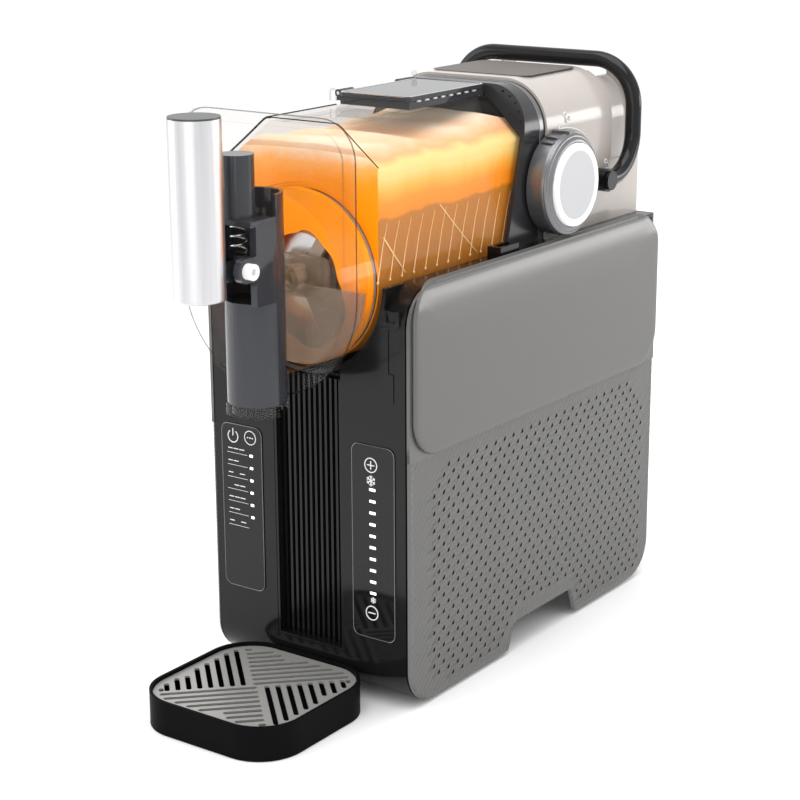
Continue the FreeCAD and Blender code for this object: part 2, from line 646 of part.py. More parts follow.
# Pivot bolt with a hexagon socket in its head.
hexs = doc.addObject("Part::Prism", uid("hexagon"))
hexs.Polygon = 6
hexs.Circumradius = 2.6
hexs.Height = 5
put(hexs, 22.0, d.pivot_y, d.pivot_z, ROT["X"])
node("pivot_bolt", cut(fuse(cyl("X", d.pivot_y, d.pivot_z, -23, 20, d.pin_r), cyl("X", d.pivot_y, d.pivot_z, 19.5, 25, 5.2), cyl("X", d.pivot_y, d.pivot_z, -23, -19.5, 5.2)), hexs))
# Lever grip with its dark end cap.
grip = fillet(cyl("Z", 0, d.lever_y, d.lever_z0, d.lever_z1 - 1.2, d.lever_r), 1.2, lambda e: mid(e).z < 300 and not along(e, AZ))
node("lever_grip", cut(grip, cyl("Z", 0, d.lever_y, d.lever_z0 + 3, d.lever_z1, d.lever_r - 2.4)))
node("lever_cap", cyl("Z", 0, d.lever_y, d.lever_z1 - 1.2, d.lever_z1, d.lever_r - 0.4))
# Fork: two arms from the grip, past the pivot, to the link pin.
arms = []
for sx in (-1, 1):
    x0, x1 = (8, 12.5) if sx > 0 else (-12.5, -8)
    arms.append(fillet(box(x0, x1, -93, -46, d.pivot_z - 6, d.pivot_z + 6), 4, lambda e: along(e, AX) and mid(e).y > -60))
fork = fuse(box(-12.5, 12.5, -96, -86, d.pivot_z - 6, d.pivot_z + 6), box(-9, 9, -70, -62, d.pivot_z + 3, d.pivot_z + 6.5),
            cyl("X", d.spout_y, d.pivot_z, -12, 12, 2.0), *arms)
node("lever_fork", cut(fork, cyl("X", d.pivot_y, d.pivot_z, -30, 30, d.pin_r + d.fit), cyl("Z", 0, d.lever_y, 280, 340, d.lever_r)))
# Plunger: piston, rod and slotted yoke.
rod = fuse(cyl("Z", 0, d.spout_y, 218, 264, 15.3), cyl("Z", 0, d.spout_y, 263, 306, d.shaft_r), box(-6.5, 6.5, -62, -46, 304, 318.5))
node("plunger", cut(rod, box(-8, 8, -60, -47.6, d.pivot_z - 2.8, d.pivot_z + 2.8),
                    cut(cyl("Z", 0, d.spout_y, 220, 223.2, 20), cyl("Z", 0, d.spout_y, 219, 224, 14.2)),
                    cut(cyl("Z", 0, d.spout_y, 258.8, 262, 20), cyl("Z", 0, d.spout_y, 258, 263, 14.2))))
node("plunger_seals", fuse(*[cut(cyl("Z", 0, d.spout_y, z0, z0 + 3.2, 16.2), cyl("Z", 0, d.spout_y, z0 - 1, z0 + 5, 14.2)) for z0 in (220, 258.8)]))


# Coil springs and screws are swept along helices.
def helix(r, pitch, height, wire_r, at):
    h = Part.makeHelix(pitch, height, r)
    w = Part.Wire(h.Edges)
    e = w.Edges[0]
    p0 = e.valueAt(e.FirstParameter)
    t0 = e.tangentAt(e.FirstParameter)
    prof = Part.Wire([Part.makeCircle(wire_r, p0, t0)])
    s = w.makePipeShell([prof], True, True)
    s.translate(at)
    return s


spring = helix(5.2, 6.2, 58.4, 0.8, Vector(0, d.spring_y.v, 318.6))
node("return_spring", feature(spring))

# ---------------------------------------------------------------- cold drum and auger
drum = cut(fuse(cyl("Y", 0, d.axis_z, d.drum_front, d.seal_y + 1, d.drum_r), cyl("Y", 0, d.axis_z, d.seal_y, d.bulk_y, 50)),
           cyl("Y", 0, d.axis_z, d.drum_front + 2.5, d.bulk_y + 1, d.drum_r - 2),
           cyl("Y", 0, d.axis_z, d.drum_front - 1, d.drum_front + 5, d.shaft_r + d.fit))
node("evaporator_drum", drum)
rings = [torus("Y", 0, 22.0 + 16 * k, d.axis_z, 43, 2.6) for k in range(10)]
node("evaporator_coil", fuse(cyl("Y", -43, d.axis_z, 20, 184, 2.4), *rings))
# Seal plate closing the vessel's rear end, and its gasket.
node("seal_plate", cut(vessel_prism(d.seal_y, d.bulk_y - 2.1, -0.4), cyl("Y", 0, d.axis_z, d.seal_y - 1, d.bulk_y + 1, 50)))
node("vessel_gasket", cut(vessel_prism(d.vessel_back + 0.4, d.seal_y, -0.6), vessel_prism(d.vessel_back - 1, d.seal_y + 1, -5.0)))
node("shaft_bearing", cut(cyl("Y", 0, d.axis_z, d.bulk_y + d.bulk_t, d.case_y, 11), cyl("Y", 0, d.axis_z, d.bulk_y, d.case_y + 1, d.shaft_r + d.fit)))

# Drive shaft, auger, nose and gear turn together.
node("drive_shaft", cyl("Y", 0, d.axis_z, -6, d.case_y + d.case_d - 4, d.shaft_r))
ri, ro, pitch = d.screw_ri.v, d.screw_r.v, d.screw_pitch.v
def ribbon(r0, r1, w, lead, y0, turns, phase, step=15.0):
    """One helical blade round the shaft axis, closed, from flat facets every step degrees."""
    rows, faces = [], []
    for i in range(int(round(turns * 360 / step)) + 1):
        a = math.radians(phase + i * step)
        y = y0 + lead * i * step / 360.0
        rows.append([Vector(r * math.cos(a), y + o, d.axis_z.v + r * math.sin(a))
                     for r, o in ((r0, -w / 2), (r1, -w / 2), (r1, w / 2), (r0, w / 2))])
    for p, q in zip(rows, rows[1:]):
        for j in range(4):
            k = (j + 1) % 4
            faces.append(Part.Face(Part.makePolygon([p[j], p[k], q[k], p[j]])))
            faces.append(Part.Face(Part.makePolygon([p[j], q[k], q[j], p[j]])))
    for r in (rows[0], rows[-1]):
        faces.append(Part.Face(Part.makePolygon([r[0], r[1], r[2], r[0]])))
        faces.append(Part.Face(Part.makePolygon([r[0], r[2], r[3], r[0]])))
    body = Part.Solid(Part.Shell(faces))
    if body.Volume < 0:
        body.reverse()
    return body


length = 168.0
blades2 = [ribbon(ri + 0.3, ro - 0.2, 3.2, pitch, 4.0, length / pitch, ph) for ph in (20, 200)]
bars = []
for k in range(3):
    bar = Part.makeBox(5, length + 4, 3.2, Vector(-2.5, 1.5, d.axis_z.v + ri + 0.1))
    bar.rotate(Vector(0, 0, d.axis_z.v), Vector(0, 1, 0), 33 + 120 * k)
    bars.append(bar)
rims = [Part.makeCylinder(ro, h, Vector(0, y, d.axis_z.v), Vector(0, 1, 0)).cut(
        Part.makeCylinder(ri, h + 2, Vector(0, y - 1, d.axis_z.v), Vector(0, 1, 0))) for y, h in ((-1.5, 4.5), (171.0, 4.0))]
spokes = []
for k in range(3):
    sp = Part.makeBox(9, 3.5, ri + 1 - 8, Vector(-4.5, -0.7, d.axis_z.v + 8))
    sp.rotate(Vector(0, 0, d.axis_z.v), Vector(0, 1, 0), 33 + 120 * k)
    spokes.append(sp)
hub = Part.makeCylinder(13, 5.0, Vector(0, -1.2, d.axis_z.v), Vector(0, 1, 0))
screw = rims[0].fuse([hub, rims[1]] + blades2 + bars + spokes)
screw = screw.cut(Part.makeCylinder(d.shaft_r.v, 20, Vector(0, -5, d.axis_z.v), Vector(0, 1, 0)))
node("auger_screw", feature(screw))
nose_plate = fillet(box(-23, 23, -4.5, -1.5, d.axis_z - 14, d.axis_z + 14), 6, lambda e: along(e, AY))
vane = cut(cyl("Y", 0, d.axis_z, -12, -9, 57.5), box(-70, 70, -20, 5, d.axis_z - 4, d.axis_z + 70), box(-70, -12, -20, 5, d.axis_z - 70, d.axis_z + 70))
nose = cut(fuse(nose_plate, cyl("Y", 0, d.axis_z, -18, -1.5, 9), vane), cyl("Y", 0, d.axis_z, -20, 1, d.shaft_r))
node("auger_nose", nose)


# Involute gears.
def gear(m, z, width, bore, phase, at):
    rp, pa = m * z / 2.0, math.radians(20)
    rb, rr, ra = rp * math.cos(pa), rp - 1.25 * m, rp + m
    inv = lambda a: math.tan(a) - a
    half = math.pi / (2 * z) - 0.12 / (2 * rp)
    flank = []
    for k in range(6):
        r = max(rb, rr) + (ra - max(rb, rr)) * k / 5.0
        a = math.acos(min(1.0, rb / r))
        flank.append((r, half + inv(pa) - inv(a)))
    pts = []
    for i in range(int(z)):
        c = 2 * math.pi * i / z + phase
        side = [(rr, flank[0][1] + 0.02 / rr)] + flank if rr < rb else flank
        for r, h in side:
            pts.append((r, c - h))
        for r, h in reversed(side):
            pts.append((r, c + h))
    v = [Vector(r * math.cos(a), r * math.sin(a), 0) for r, a in pts]
    face = Part.Face(Part.makePolygon(v + [v[0]]))
    s = face.extrude(Vector(0, 0, width)).cut(Part.makeCylinder(bore, width + 2, Vector(0, 0, -1)))
    s.rotate(Vector(0, 0, 0), Vector(1, 0, 0), -90)
    s.translate(at)
    return s


gy = d.gear_y.v
cz = d.axis_z.v + d.gear_m.v * (d.gear_z.v + d.pinion_z.v) / 2.0
# After the turn onto the Y axis the drawing's +Y points to -Z, so the upper
# side of the drive gear is at -90 degrees; one tooth is put in mesh there.
node("drive_gear", feature(gear(d.gear_m.v, d.gear_z.v, d.gear_w.v, d.shaft_r.v, -math.pi / 2, Vector(0, gy, d.axis_z.v))))
node("motor_pinion", feature(gear(d.gear_m.v, d.pinion_z.v, d.gear_w.v + 2, 3.0, math.pi / 2 + math.pi / d.pinion_z.v, Vector(0, gy - 1, cz))))
CZ = d.axis_z + d.gear_m * (d.gear_z + d.pinion_z) / 2
case_back = d.case_y + d.case_d
case = cut(box(-41, 41, d.case_y, case_back, 252, 356), box(-38.5, 38.5, d.case_y + 2.5, case_back - 2.5, 254.5, 353.5),
           cyl("Y", 0, d.axis_z, d.case_y - 1, d.case_y + 4, d.shaft_r + d.fit), cyl("Y", 0, CZ, case_back - 4, case_back + 1, 3.0 + 0.06))
node("gearbox_case", case)
node("motor_can", cut(cyl("Y", 0, CZ, case_back, case_back + d.motor_l, d.motor_r), cyl("Y", 0, CZ, case_back + 2, case_back + d.motor_l - 2, d.motor_r - 5),
                      cyl("Y", 0, CZ, case_back - 1, case_back + 3, 3.06)))
node("motor_rotor", fuse(cyl("Y", 0, CZ, gy - 2, case_back + d.motor_l - 4, 3.0), cyl("Y", 0, CZ, case_back + 8, case_back + d.motor_l - 10, 20)))


# ---------------------------------------------------------------- collar and housing
def lean_block(offset):
    """Everything in front of the collar's leaning front plane, moved back by offset."""
    o = doc.addObject("Part::Box", uid("lean"))
    o.Length, o.Width, o.Height = 200, 300, 400
    a = math.radians(d.collar_lean.v)
    rot = Rotation(Vector(1, 0, 0), -d.collar_lean.v)
    base = Vector(0, 147.5, 300) + Vector(0, math.cos(a), -math.sin(a)) * offset
    o.Placement = Placement(base - rot.multVec(Vector(100, 300, 200)), rot)
    return o


col_out = fillet(box(-d.collar_w, d.collar_w, 120, d.collar_back, d.body_h + 0.1, d.collar_top), d.collar_r.v, lambda e: along(e, AY) and mid(e).z > 390)
col_in = fillet(box(3.1 - d.collar_w, d.collar_w - 3.1, 110, d.collar_back + 1, d.body_h - 5, d.collar_top - 3.1), d.collar_r.v - 3, lambda e: along(e, AY) and mid(e).z > 390)
hollow = cut(col_in, lean_block(5.0))
node("collar", cut(col_out, lean_block(0.0), hollow, vessel_prism(100, 200, 0.7)))

h0 = fillet(box(-d.housing_w, d.housing_w, d.collar_back + 0.2, d.housing_back, d.body_h + 0.1, d.housing_top), d.housing_r.v, lambda e: along(e, AY) and mid(e).z > 390)
h0 = fillet(h0, 7.0, lambda e: near(mid(e).y, d.housing_back, 0.01) and mid(e).z > 292)
h1 = fillet(box(5.2 - d.housing_w, d.housing_w - 5.2, d.collar_back - 2, d.housing_back - 2.5, d.body_h - 5, d.housing_top - 8), d.housing_r.v - 4, lambda e: along(e, AY) and mid(e).z > 390)
# Stepped channel across the back in which the carrying bail lies.
ch_in = fillet(box(2.6 - d.housing_w, d.housing_w - 2.6, 250, 340, 270, d.housing_top - 5), d.housing_r.v - 2, lambda e: along(e, AY) and mid(e).z > 390)
channel = cut(box(-80, 80, 286, 314, 336, 420), ch_in)
# Finger scoop under the bail's grip, open to the rear.
scoop = fillet(box(-46, 46, 284, 345, 372, 430), 9, lambda e: along(e, AY) and mid(e).z < 380)
h1 = cut(h1, box(-49, 49, 281, 345, 369, 430))
node("housing", cut(h0, h1, channel, scoop, cyl("X", d.knob_y, d.knob_z, 50, 80, Q(7, "(7)") + d.fit),
                    cyl("X", d.bail_py, d.bail_pz, -80, 80, 4)))
inset = fillet(box(-42, 42, 206, 278, d.housing_top, d.housing_top + 0.6), 8, lambda e: along(e, AZ))
node("housing_inset", inset)

# Lock knob on its stem, with a pointer ridge, and its bright face.
kn0 = fillet(cyl("X", d.knob_y, d.knob_z, d.housing_w + 0.4, d.knob_face_x - 3.5, d.knob_r), 2.5, lambda e: mid(e).x > 80 and not along(e, AX))
ridge = box(d.housing_w + 1, d.knob_face_x - 5, d.knob_y - 4, d.knob_y + 4, d.knob_z + 30, d.knob_z + d.knob_r + 1.6)
node("lock_knob", fuse(kn0, ridge, cyl("X", d.knob_y, d.knob_z, 48, d.housing_w + 1, 7), cyl("X", d.knob_y, d.knob_z, 46, 52, 10),
                       box(46, 52, d.knob_y, d.knob_y + 20, d.knob_z - 5, d.knob_z + 5)))
node("knob_face", fillet(cyl("X", d.knob_y, d.knob_z, d.knob_face_x - 3.5, d.knob_face_x, d.knob_r - 8), 1.5, lambda e: mid(e).x > 87 and not along(e, AX)))

# Carrying bail: one bent tube with an eye at each end.
bx, by, bz, py, pz = d.bail_x.v, d.bail_y.v, d.bail_z.v, d.bail_py.v, d.bail_pz.v
R1, R2 = 31.0, 33.0


def arc(c, r, u, w, a0, a1):
    def p(a):
        return c + u * (r * math.cos(a)) + w * (r * math.sin(a))
    return Part.Arc(p(a0), p((a0 + a1) / 2), p(a1)).toShape()


edges = []
edges.append(Part.makeLine(Vector(bx, py + 5, pz), Vector(bx, by - R1, pz)))
edges.append(arc(Vector(bx, by - R1, pz + R1), R1, Vector(0, 1, 0), Vector(0, 0, 1), -math.pi / 2, 0))
edges.append(Part.makeLine(Vector(bx, by, pz + R1), Vector(bx, by, bz - R2)))
edges.append(arc(Vector(bx - R2, by, bz - R2), R2, Vector(1, 0, 0), Vector(0, 0, 1), 0, math.pi / 2))
edges.append(Part.makeLine(Vector(bx - R2, by, bz), Vector(-bx + R2, by, bz)))
edges.append(arc(Vector(-bx + R2, by, bz - R2), R2, Vector(1, 0, 0), Vector(0, 0, 1), math.pi / 2, math.pi))
edges.append(Part.makeLine(Vector(-bx, by, bz - R2), Vector(-bx, by, pz + R1)))
edges.append(arc(Vector(-bx, by - R1, pz + R1), R1, Vector(0, 1, 0), Vector(0, 0, 1), 0, -math.pi / 2))
edges.append(Part.makeLine(Vector(-bx, by - R1, pz), Vector(-bx, py + 5, pz)))
path = Part.Wire(edges)
ring = Part.Wire([Part.makeCircle(d.bail_r.v, Vector(bx, py + 5, pz), Vector(0, 1, 0))])
bail = path.makePipeShell([ring], True, True)
for sx in (-1, 1):
    eye = Part.makeCylinder(8.5, 9, Vector(sx * bx - 4.5, py, pz), Vector(1, 0, 0))
    bail = bail.fuse(eye)
bail = bail.cut(Part.makeCylinder(4.05, 300, Vector(-150, py, pz), Vector(1, 0, 0)))
# Room for the washers inside the arms and the heads outside them.
bail = bail.cut(Part.makeCylinder(9.5, 146.8, Vector(-73.4, py, pz), Vector(1, 0, 0)))
for sx in (-1, 1):
    bail = bail.cut(Part.makeCylinder(9.5, 12, Vector(82.7 if sx > 0 else -94.7, py, pz), Vector(1, 0, 0)))
node("bail_handle", feature(bail.removeSplitter()))
piv = []
for sx in (-1, 1):
    x0, x1 = (60, 84.5) if sx > 0 else (-84.5, -60)
    piv.append(fuse(cyl("X", d.bail_py, d.bail_pz, x0, x1, 4),
                    cyl("X", d.bail_py, d.bail_pz, d.housing_w if sx > 0 else -73.1, 73.1 if sx > 0 else -d.housing_w, 8),
                    cyl("X", d.bail_py, d.bail_pz, 83.0 if sx > 0 else -85.5, 85.5 if sx > 0 else -83.0, 7)))
node("bail_pivots", fuse(*piv))

# ---------------------------------------------------------------- drip tray
b = Body("tray")
b.pad("XY_Plane", -2, d.tray_top, lambda s: rect(s, -d.tray_w, d.tray_w, d.tray_y0, d.tray_y1))
b.round(d.tray_r, lambda e: along(e, AZ))
tray = b.b
inn = fillet(box(3 - d.tray_w, d.tray_w - 3, d.tray_y0 + 3, d.tray_y1 - 3, 2, d.tray_top - 4), 29, lambda e: along(e, AZ))
inn2 = fillet(box(3.9 - 3 - d.tray_w + 1.2, d.tray_w - 2.1, d.tray_y0 + 2.1, d.tray_y1 - 2.1, d.tray_top - 4, d.tray_top + 1), 29.9, lambda e: along(e, AZ))
inn1 = fillet(box(7 - d.tray_w, d.tray_w - 7, d.tray_y0 + 7, d.tray_y1 - 7, 2, d.tray_top - 3), 25, lambda e: along(e, AZ))
node("drip_tray", cut(tray, inn1, inn2))
gr = fillet(box(2.5 - d.tray_w, d.tray_w - 2.5, d.tray_y0 + 2.5, d.tray_y1 - 2.5, d.tray_top - 3.9, d.tray_top - 2.4), 29.4, lambda e: along(e, AZ))
slots = []
ycm = (d.tray_y0 + d.tray_y1) / 2
# Herring-bone slots: four triangles between the diagonals, rows parallel to one diagonal.
row, sw = 7.33, 1.8
for quarter in range(4):
    for k in range(9):
        off = (3.2 if quarter % 2 == 0 else 7.6) + row * k
        ux0 = off - 73.2
        if off < 17.6:
            ux0 = max(ux0, -39.6 - math.sqrt(24.9 ** 2 - off ** 2))
        if off > 39.6:
            ux0 = max(ux0, -math.sqrt(max(24.9 ** 2 - (off - 39.6) ** 2, 0)))
        ux1 = 1.0 if quarter % 2 == 0 else -1.5
        if k == 8:
            off, ux0, ux1 = (61.8, -4.0, 1.5) if quarter % 2 == 0 else (62.8, -6.5, -1.5)
        bits = [Part.makeBox(ux1 - ux0 - 2 * sw, 2 * sw, 20, Vector(ux0 + sw, -off - sw, 10)),
                Part.makeCylinder(sw, 20, Vector(ux0 + sw, -off, 10)), Part.makeCylinder(sw, 20, Vector(ux1 - sw, -off, 10))]
        bar = bits[0].fuse(bits[1:])
        bar.rotate(Vector(0, 0, 0), Vector(0, 0, 1), 45 + 90 * quarter)
        bar.translate(Vector(0, ycm.v, 0))
        slots.append(bar)
slotted = feature(Part.makeCompound(slots))
node("tray_grille", cut(gr, slotted))

# ---------------------------------------------------------------- refrigeration and electrics
shell = fillet(cyl("Z", 22, 262, 32, 126, 44), 16, lambda e: not along(e, AZ) and (mid(e).z < 33 or mid(e).z > 125))
pads = [cyl("Z", 22.0 + 33 * sx, 262.0 + 33 * sy, 23, 33, 7) for sx in (-1, 1) for sy in (-1, 1)]
node("compressor", fuse(shell, cyl("Z", 22, 262, 28, 40, 30), box(-17, 61, 223, 301, 28, 31), *pads))
b = Body("condenser")
b.pad("XY_Plane", 30, 170, lambda s: rect(s, -79, -59, 62, 198))
f = b.pocket("XZ_Plane", 66, 69.5, lambda s: poly(s, [(-80, 36), (-61, 36), (-61, 164), (-80, 164)]))
b.b.Tip = f
p = b.b.newObject("PartDesign::LinearPattern", uid("row"))
p.Originals = [f]
p.Direction = (f.Profile[0], ["N_Axis"])
p.Length = 120
p.Occurrences = 21
p.Reversed = True
b.b.Tip = p
doc.recompute()
node("condenser", b.b)
plate = cut(box(-58.8, -55, 62, 198, 30, 170), cyl("X", 130, 100, -60, -50, 54))
arms = [box(-38, -34, 127, 133, 40, 160), box(-38, -34, 70, 190, 97, 103)]
posts = [box(-56, -34, 127, 133, 154, 160), box(-56, -34, 127, 133, 40, 46), box(-56, -34, 70, 76, 97, 103), box(-56, -34, 184, 190, 97, 103)]
spider = cut(fuse(*(arms + posts)), cyl("X", 130, 100, -42, -30, 17))
node("fan_shroud", fuse(plate, spider))
node("fan_motor", cut(cyl("X", 130, 100, -40, -16, 17), cyl("X", 130, 100, -41, -22, 2.0 + 0.06)))
blades = []
for k in range(7):
    bl = Part.makeBox(1.6, 18, 36, Vector(-0.8, -9, 13))
    bl.rotate(Vector(0, 0, 13), Vector(0, 0, 1), 32)
    bl.rotate(Vector(0, 0, 0), Vector(1, 0, 0), 360.0 * k / 7)
    bl.translate(Vector(-49, 130, 100))
    blades.append(bl)
hubf = Part.makeCylinder(15, 12, Vector(-54.5, 130, 100), Vector(1, 0, 0)).fuse(Part.makeCylinder(2.0, 26, Vector(-52, 130, 100), Vector(1, 0, 0)))
node("fan_rotor", feature(hubf.fuse(blades).common(Part.makeCylinder(50, 40, Vector(-60, 130, 100), Vector(1, 0, 0)))))


def pipe(points, r, bend):
    """Round tube along straight runs joined by tangent arcs."""
    pts = [Vector(*p) for p in points]
    segs = []
    last = pts[0]
    for i in range(1, len(pts) - 1):
        a, c, e = pts[i - 1], pts[i], pts[i + 1]
        u = (a - c).normalize()
        w = (e - c).normalize()
        ang = u.getAngle(w)
        t = bend / math.tan(ang / 2)
        p1, p2 = c + u * t, c + w * t
        bis = (u + w).normalize()
        m = c + bis * (bend / math.sin(ang / 2) - bend)
        segs.append(Part.makeLine(last, p1))
        segs.append(Part.Arc(p1, m, p2).toShape())
        last = p2
    segs.append(Part.makeLine(last, pts[-1]))
    w = Part.Wire(segs)
    c = Part.Wire([Part.makeCircle(r, pts[0], pts[1] - pts[0])])
    return w.makePipeShell([c], True, True)


lines = [
    pipe([(22, 262, 126), (22, 262, 182), (-69, 262, 182), (-69, 190, 182), (-69, 190, 170)], 3, 10),
    pipe([(-69, 70, 30), (-69, 70, 26.5), (-40, 70, 26.5), (-40, 214, 26.5), (-40, 214, 60)], 3, 3.2),
    pipe([(-40, 214, 150), (-40, 214, 190), (-30, 195, 222), (-30, 195, 272), (-30, 191.2, 272)], 2, 3.4),
    pipe([(50, 214, 272), (50, 214, 150), (44, 262, 150), (44, 262, 126)], 4, 12),
]
drier = Part.makeCylinder(9, 90, Vector(-40, 214, 60), Vector(0, 0, 1))
node("refrigerant_lines", feature(Part.makeCompound([lines[0], lines[1].fuse([drier, lines[2]]), lines[3]])))
boards = [fuse(box(-78, -33, 6, 7.6, 66, 180), *[box(-52, -46, 4.2, 6.5, z - 2, z + 2) for z in (112, 121, 130, 139, 148, 157)]),
          fuse(box(33, 76, 6, 7.6, 52, 184), *[box(52, 58, 4.2, 6.5, 79 + 8.2 * k - 1.5, 79 + 8.2 * k + 1.5) for k in range(10)])]
node("control_boards", fuse(*boards))
node("power_board", fuse(box(22, 78, 60, 187, 36, 38), box(24, 34, 62, 72, 23, 37), box(66, 76, 62, 72, 23, 37), box(24, 34, 176, 186, 23, 37), box(66, 76, 176, 186, 23, 37),
                         box(28, 56, 80, 110, 37, 66), box(60, 74, 84, 104, 37, 52), cyl("Z", 40, 135, 37, 62, 9), cyl("Z", 62, 135, 37, 56, 7), box(30, 36, 150, 184, 37, 60), box(48, 76, 155, 176, 37, 50)))
screws = []
for sx in (-1, 1):
    for zz in (40, 160, 284):
        screws.append(fuse(cyl("Y", 76.0 * sx, zz, 330, 332, 3.4), cyl("Y", 76.0 * sx, zz, 330.0, 331, 1.7)))
node("rear_screws", fuse(*screws))

# ---------------------------------------------------------------- check and write
doc.recompute()
bad = [o.Label for o in doc.Objects if "Invalid" in o.State or "Error" in o.State]
if bad:
    raise RuntimeError("failed objects: " + ", ".join(bad))
labels = [n for n, o in NODES]
if len(labels) != len(set(labels)) or len(labels) > 60:
    raise RuntimeError("node names: %d" % len(labels))
total = 0.0
for label, o in NODES:
    if o.Shape.isNull() or not o.Shape.isValid():
        raise RuntimeError("bad shape in " + label)
for label, o in NODES:
    s = o.Shape
    bb = s.BoundBox
    print("%-20s solids %2d  vol %9.0f  x %7.1f %7.1f  y %7.1f %7.1f  z %7.1f %7.1f" % (
        label, len(s.Solids), s.Volume, bb.XMin, bb.XMax, bb.YMin, bb.YMax, bb.ZMin, bb.ZMax))
    o.Shape.exportStep("parts/%s.step" % label)
print(len(NODES), "nodes")
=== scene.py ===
"""Looks of the countertop slush machine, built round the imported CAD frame."""
import json
import math
import random

import bmesh
import bpy
from mathutils import Matrix, Vector, noise
from mathutils.geometry import tessellate_polygon

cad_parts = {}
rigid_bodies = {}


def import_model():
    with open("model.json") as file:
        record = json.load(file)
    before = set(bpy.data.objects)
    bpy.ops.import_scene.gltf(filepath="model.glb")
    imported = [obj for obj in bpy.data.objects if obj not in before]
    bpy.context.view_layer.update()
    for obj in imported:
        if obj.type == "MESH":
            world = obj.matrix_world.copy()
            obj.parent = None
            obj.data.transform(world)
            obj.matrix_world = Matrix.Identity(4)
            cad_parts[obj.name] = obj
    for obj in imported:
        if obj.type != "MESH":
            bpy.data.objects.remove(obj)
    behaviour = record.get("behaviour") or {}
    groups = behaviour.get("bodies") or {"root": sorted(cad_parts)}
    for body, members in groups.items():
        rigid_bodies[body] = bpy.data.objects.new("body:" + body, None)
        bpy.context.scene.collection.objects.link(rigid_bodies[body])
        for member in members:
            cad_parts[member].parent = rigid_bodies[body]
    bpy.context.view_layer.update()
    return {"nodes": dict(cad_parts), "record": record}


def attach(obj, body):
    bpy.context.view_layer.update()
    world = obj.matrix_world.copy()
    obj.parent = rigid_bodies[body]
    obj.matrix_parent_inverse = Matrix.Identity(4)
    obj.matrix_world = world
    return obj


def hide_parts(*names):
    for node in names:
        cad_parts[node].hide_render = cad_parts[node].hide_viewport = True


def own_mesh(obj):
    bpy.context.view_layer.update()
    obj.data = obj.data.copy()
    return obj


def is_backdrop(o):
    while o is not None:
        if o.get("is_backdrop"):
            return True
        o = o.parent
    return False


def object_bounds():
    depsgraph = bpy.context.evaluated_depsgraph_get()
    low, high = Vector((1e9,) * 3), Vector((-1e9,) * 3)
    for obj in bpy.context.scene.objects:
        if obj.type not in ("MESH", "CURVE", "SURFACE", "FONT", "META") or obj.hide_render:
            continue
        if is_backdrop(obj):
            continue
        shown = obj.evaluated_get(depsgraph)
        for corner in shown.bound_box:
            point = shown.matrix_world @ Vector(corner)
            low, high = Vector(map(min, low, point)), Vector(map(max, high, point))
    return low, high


random.seed(7)
for o in list(bpy.data.objects):
    bpy.data.objects.remove(o)
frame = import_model()
REC = frame["record"]
NODES = frame["nodes"]
OY, OZ = -107.0, 2.0


def P(x, y, z):
    """Millimetres from the panel's front foot to metres in the part's frame."""
    return Vector((x, y + OY, z + OZ)) * 0.001


# ------------------------------------------------------------------ materials
def shader(name):
    m = bpy.data.materials.new(name)
    m.use_nodes = True
    nt = m.node_tree
    return m, nt, nt.nodes["Principled BSDF"]


def link(nt, a, b):
    nt.links.new(a, b)


def coords(nt, scale=(1, 1, 1)):
    tc = nt.nodes.new("ShaderNodeTexCoord")
    mp = nt.nodes.new("ShaderNodeMapping")
    mp.inputs["Scale"].default_value = scale
    link(nt, tc.outputs["Object"], mp.inputs["Vector"])
    return mp.outputs["Vector"]


def ramp(nt, fac, stops):
    r = nt.nodes.new("ShaderNodeValToRGB")
    e = r.color_ramp.elements
    while len(e) > 1:
        e.remove(e[-1])
    e[0].position, e[0].color = stops[0][0], (*stops[0][1], 1)
    for p, c in stops[1:]:
        n = e.new(p)
        n.color = (*c, 1)
    link(nt, fac, r.inputs["Fac"])
    return r.outputs["Color"]


def tint(c, k):
    return tuple(min(1.0, max(0.0, v * k)) for v in c)


def solid(name, color, rough=0.4, metal=0.0, spread=0.05, scale=60.0, bump=0.02, stretch=(1, 1, 1),
          coat=0.0, rspread=0.05, ior=1.5, spec=0.5):
    """A finish with fine procedural variation of tone, gloss and surface."""
    m, nt, b = shader(name)
    v = coords(nt, stretch)
    n = nt.nodes.new("ShaderNodeTexNoise")
    n.inputs["Scale"].default_value = scale
    n.inputs["Detail"].default_value = 5
    link(nt, v, n.inputs["Vector"])
    link(nt, ramp(nt, n.outputs["Fac"], [(0.3, tint(color, 1 - spread)), (0.7, tint(color, 1 + spread))]), b.inputs["Base Color"])
    mr = nt.nodes.new("ShaderNodeMapRange")
    mr.inputs["To Min"].default_value = max(0.02, rough - rspread)
    mr.inputs["To Max"].default_value = min(1.0, rough + rspread)
    link(nt, n.outputs["Fac"], mr.inputs["Value"])
    link(nt, mr.outputs["Result"], b.inputs["Roughness"])
    b.inputs["Metallic"].default_value = metal
    b.inputs["IOR"].default_value = ior
    b.inputs["Specular IOR Level"].default_value = spec
    if "Coat Weight" in b.inputs:
        b.inputs["Coat Weight"].default_value = coat
    if bump:
        f = nt.nodes.new("ShaderNodeTexNoise")
        f.inputs["Scale"].default_value = scale * 22
        f.inputs["Detail"].default_value = 3
        link(nt, v, f.inputs["Vector"])
        bp = nt.nodes.new("ShaderNodeBump")
        bp.inputs["Strength"].default_value = bump
        bp.inputs["Distance"].default_value = 0.0004
        link(nt, f.outputs["Fac"], bp.inputs["Height"])
        link(nt, bp.outputs["Normal"], b.inputs["Normal"])
    return m


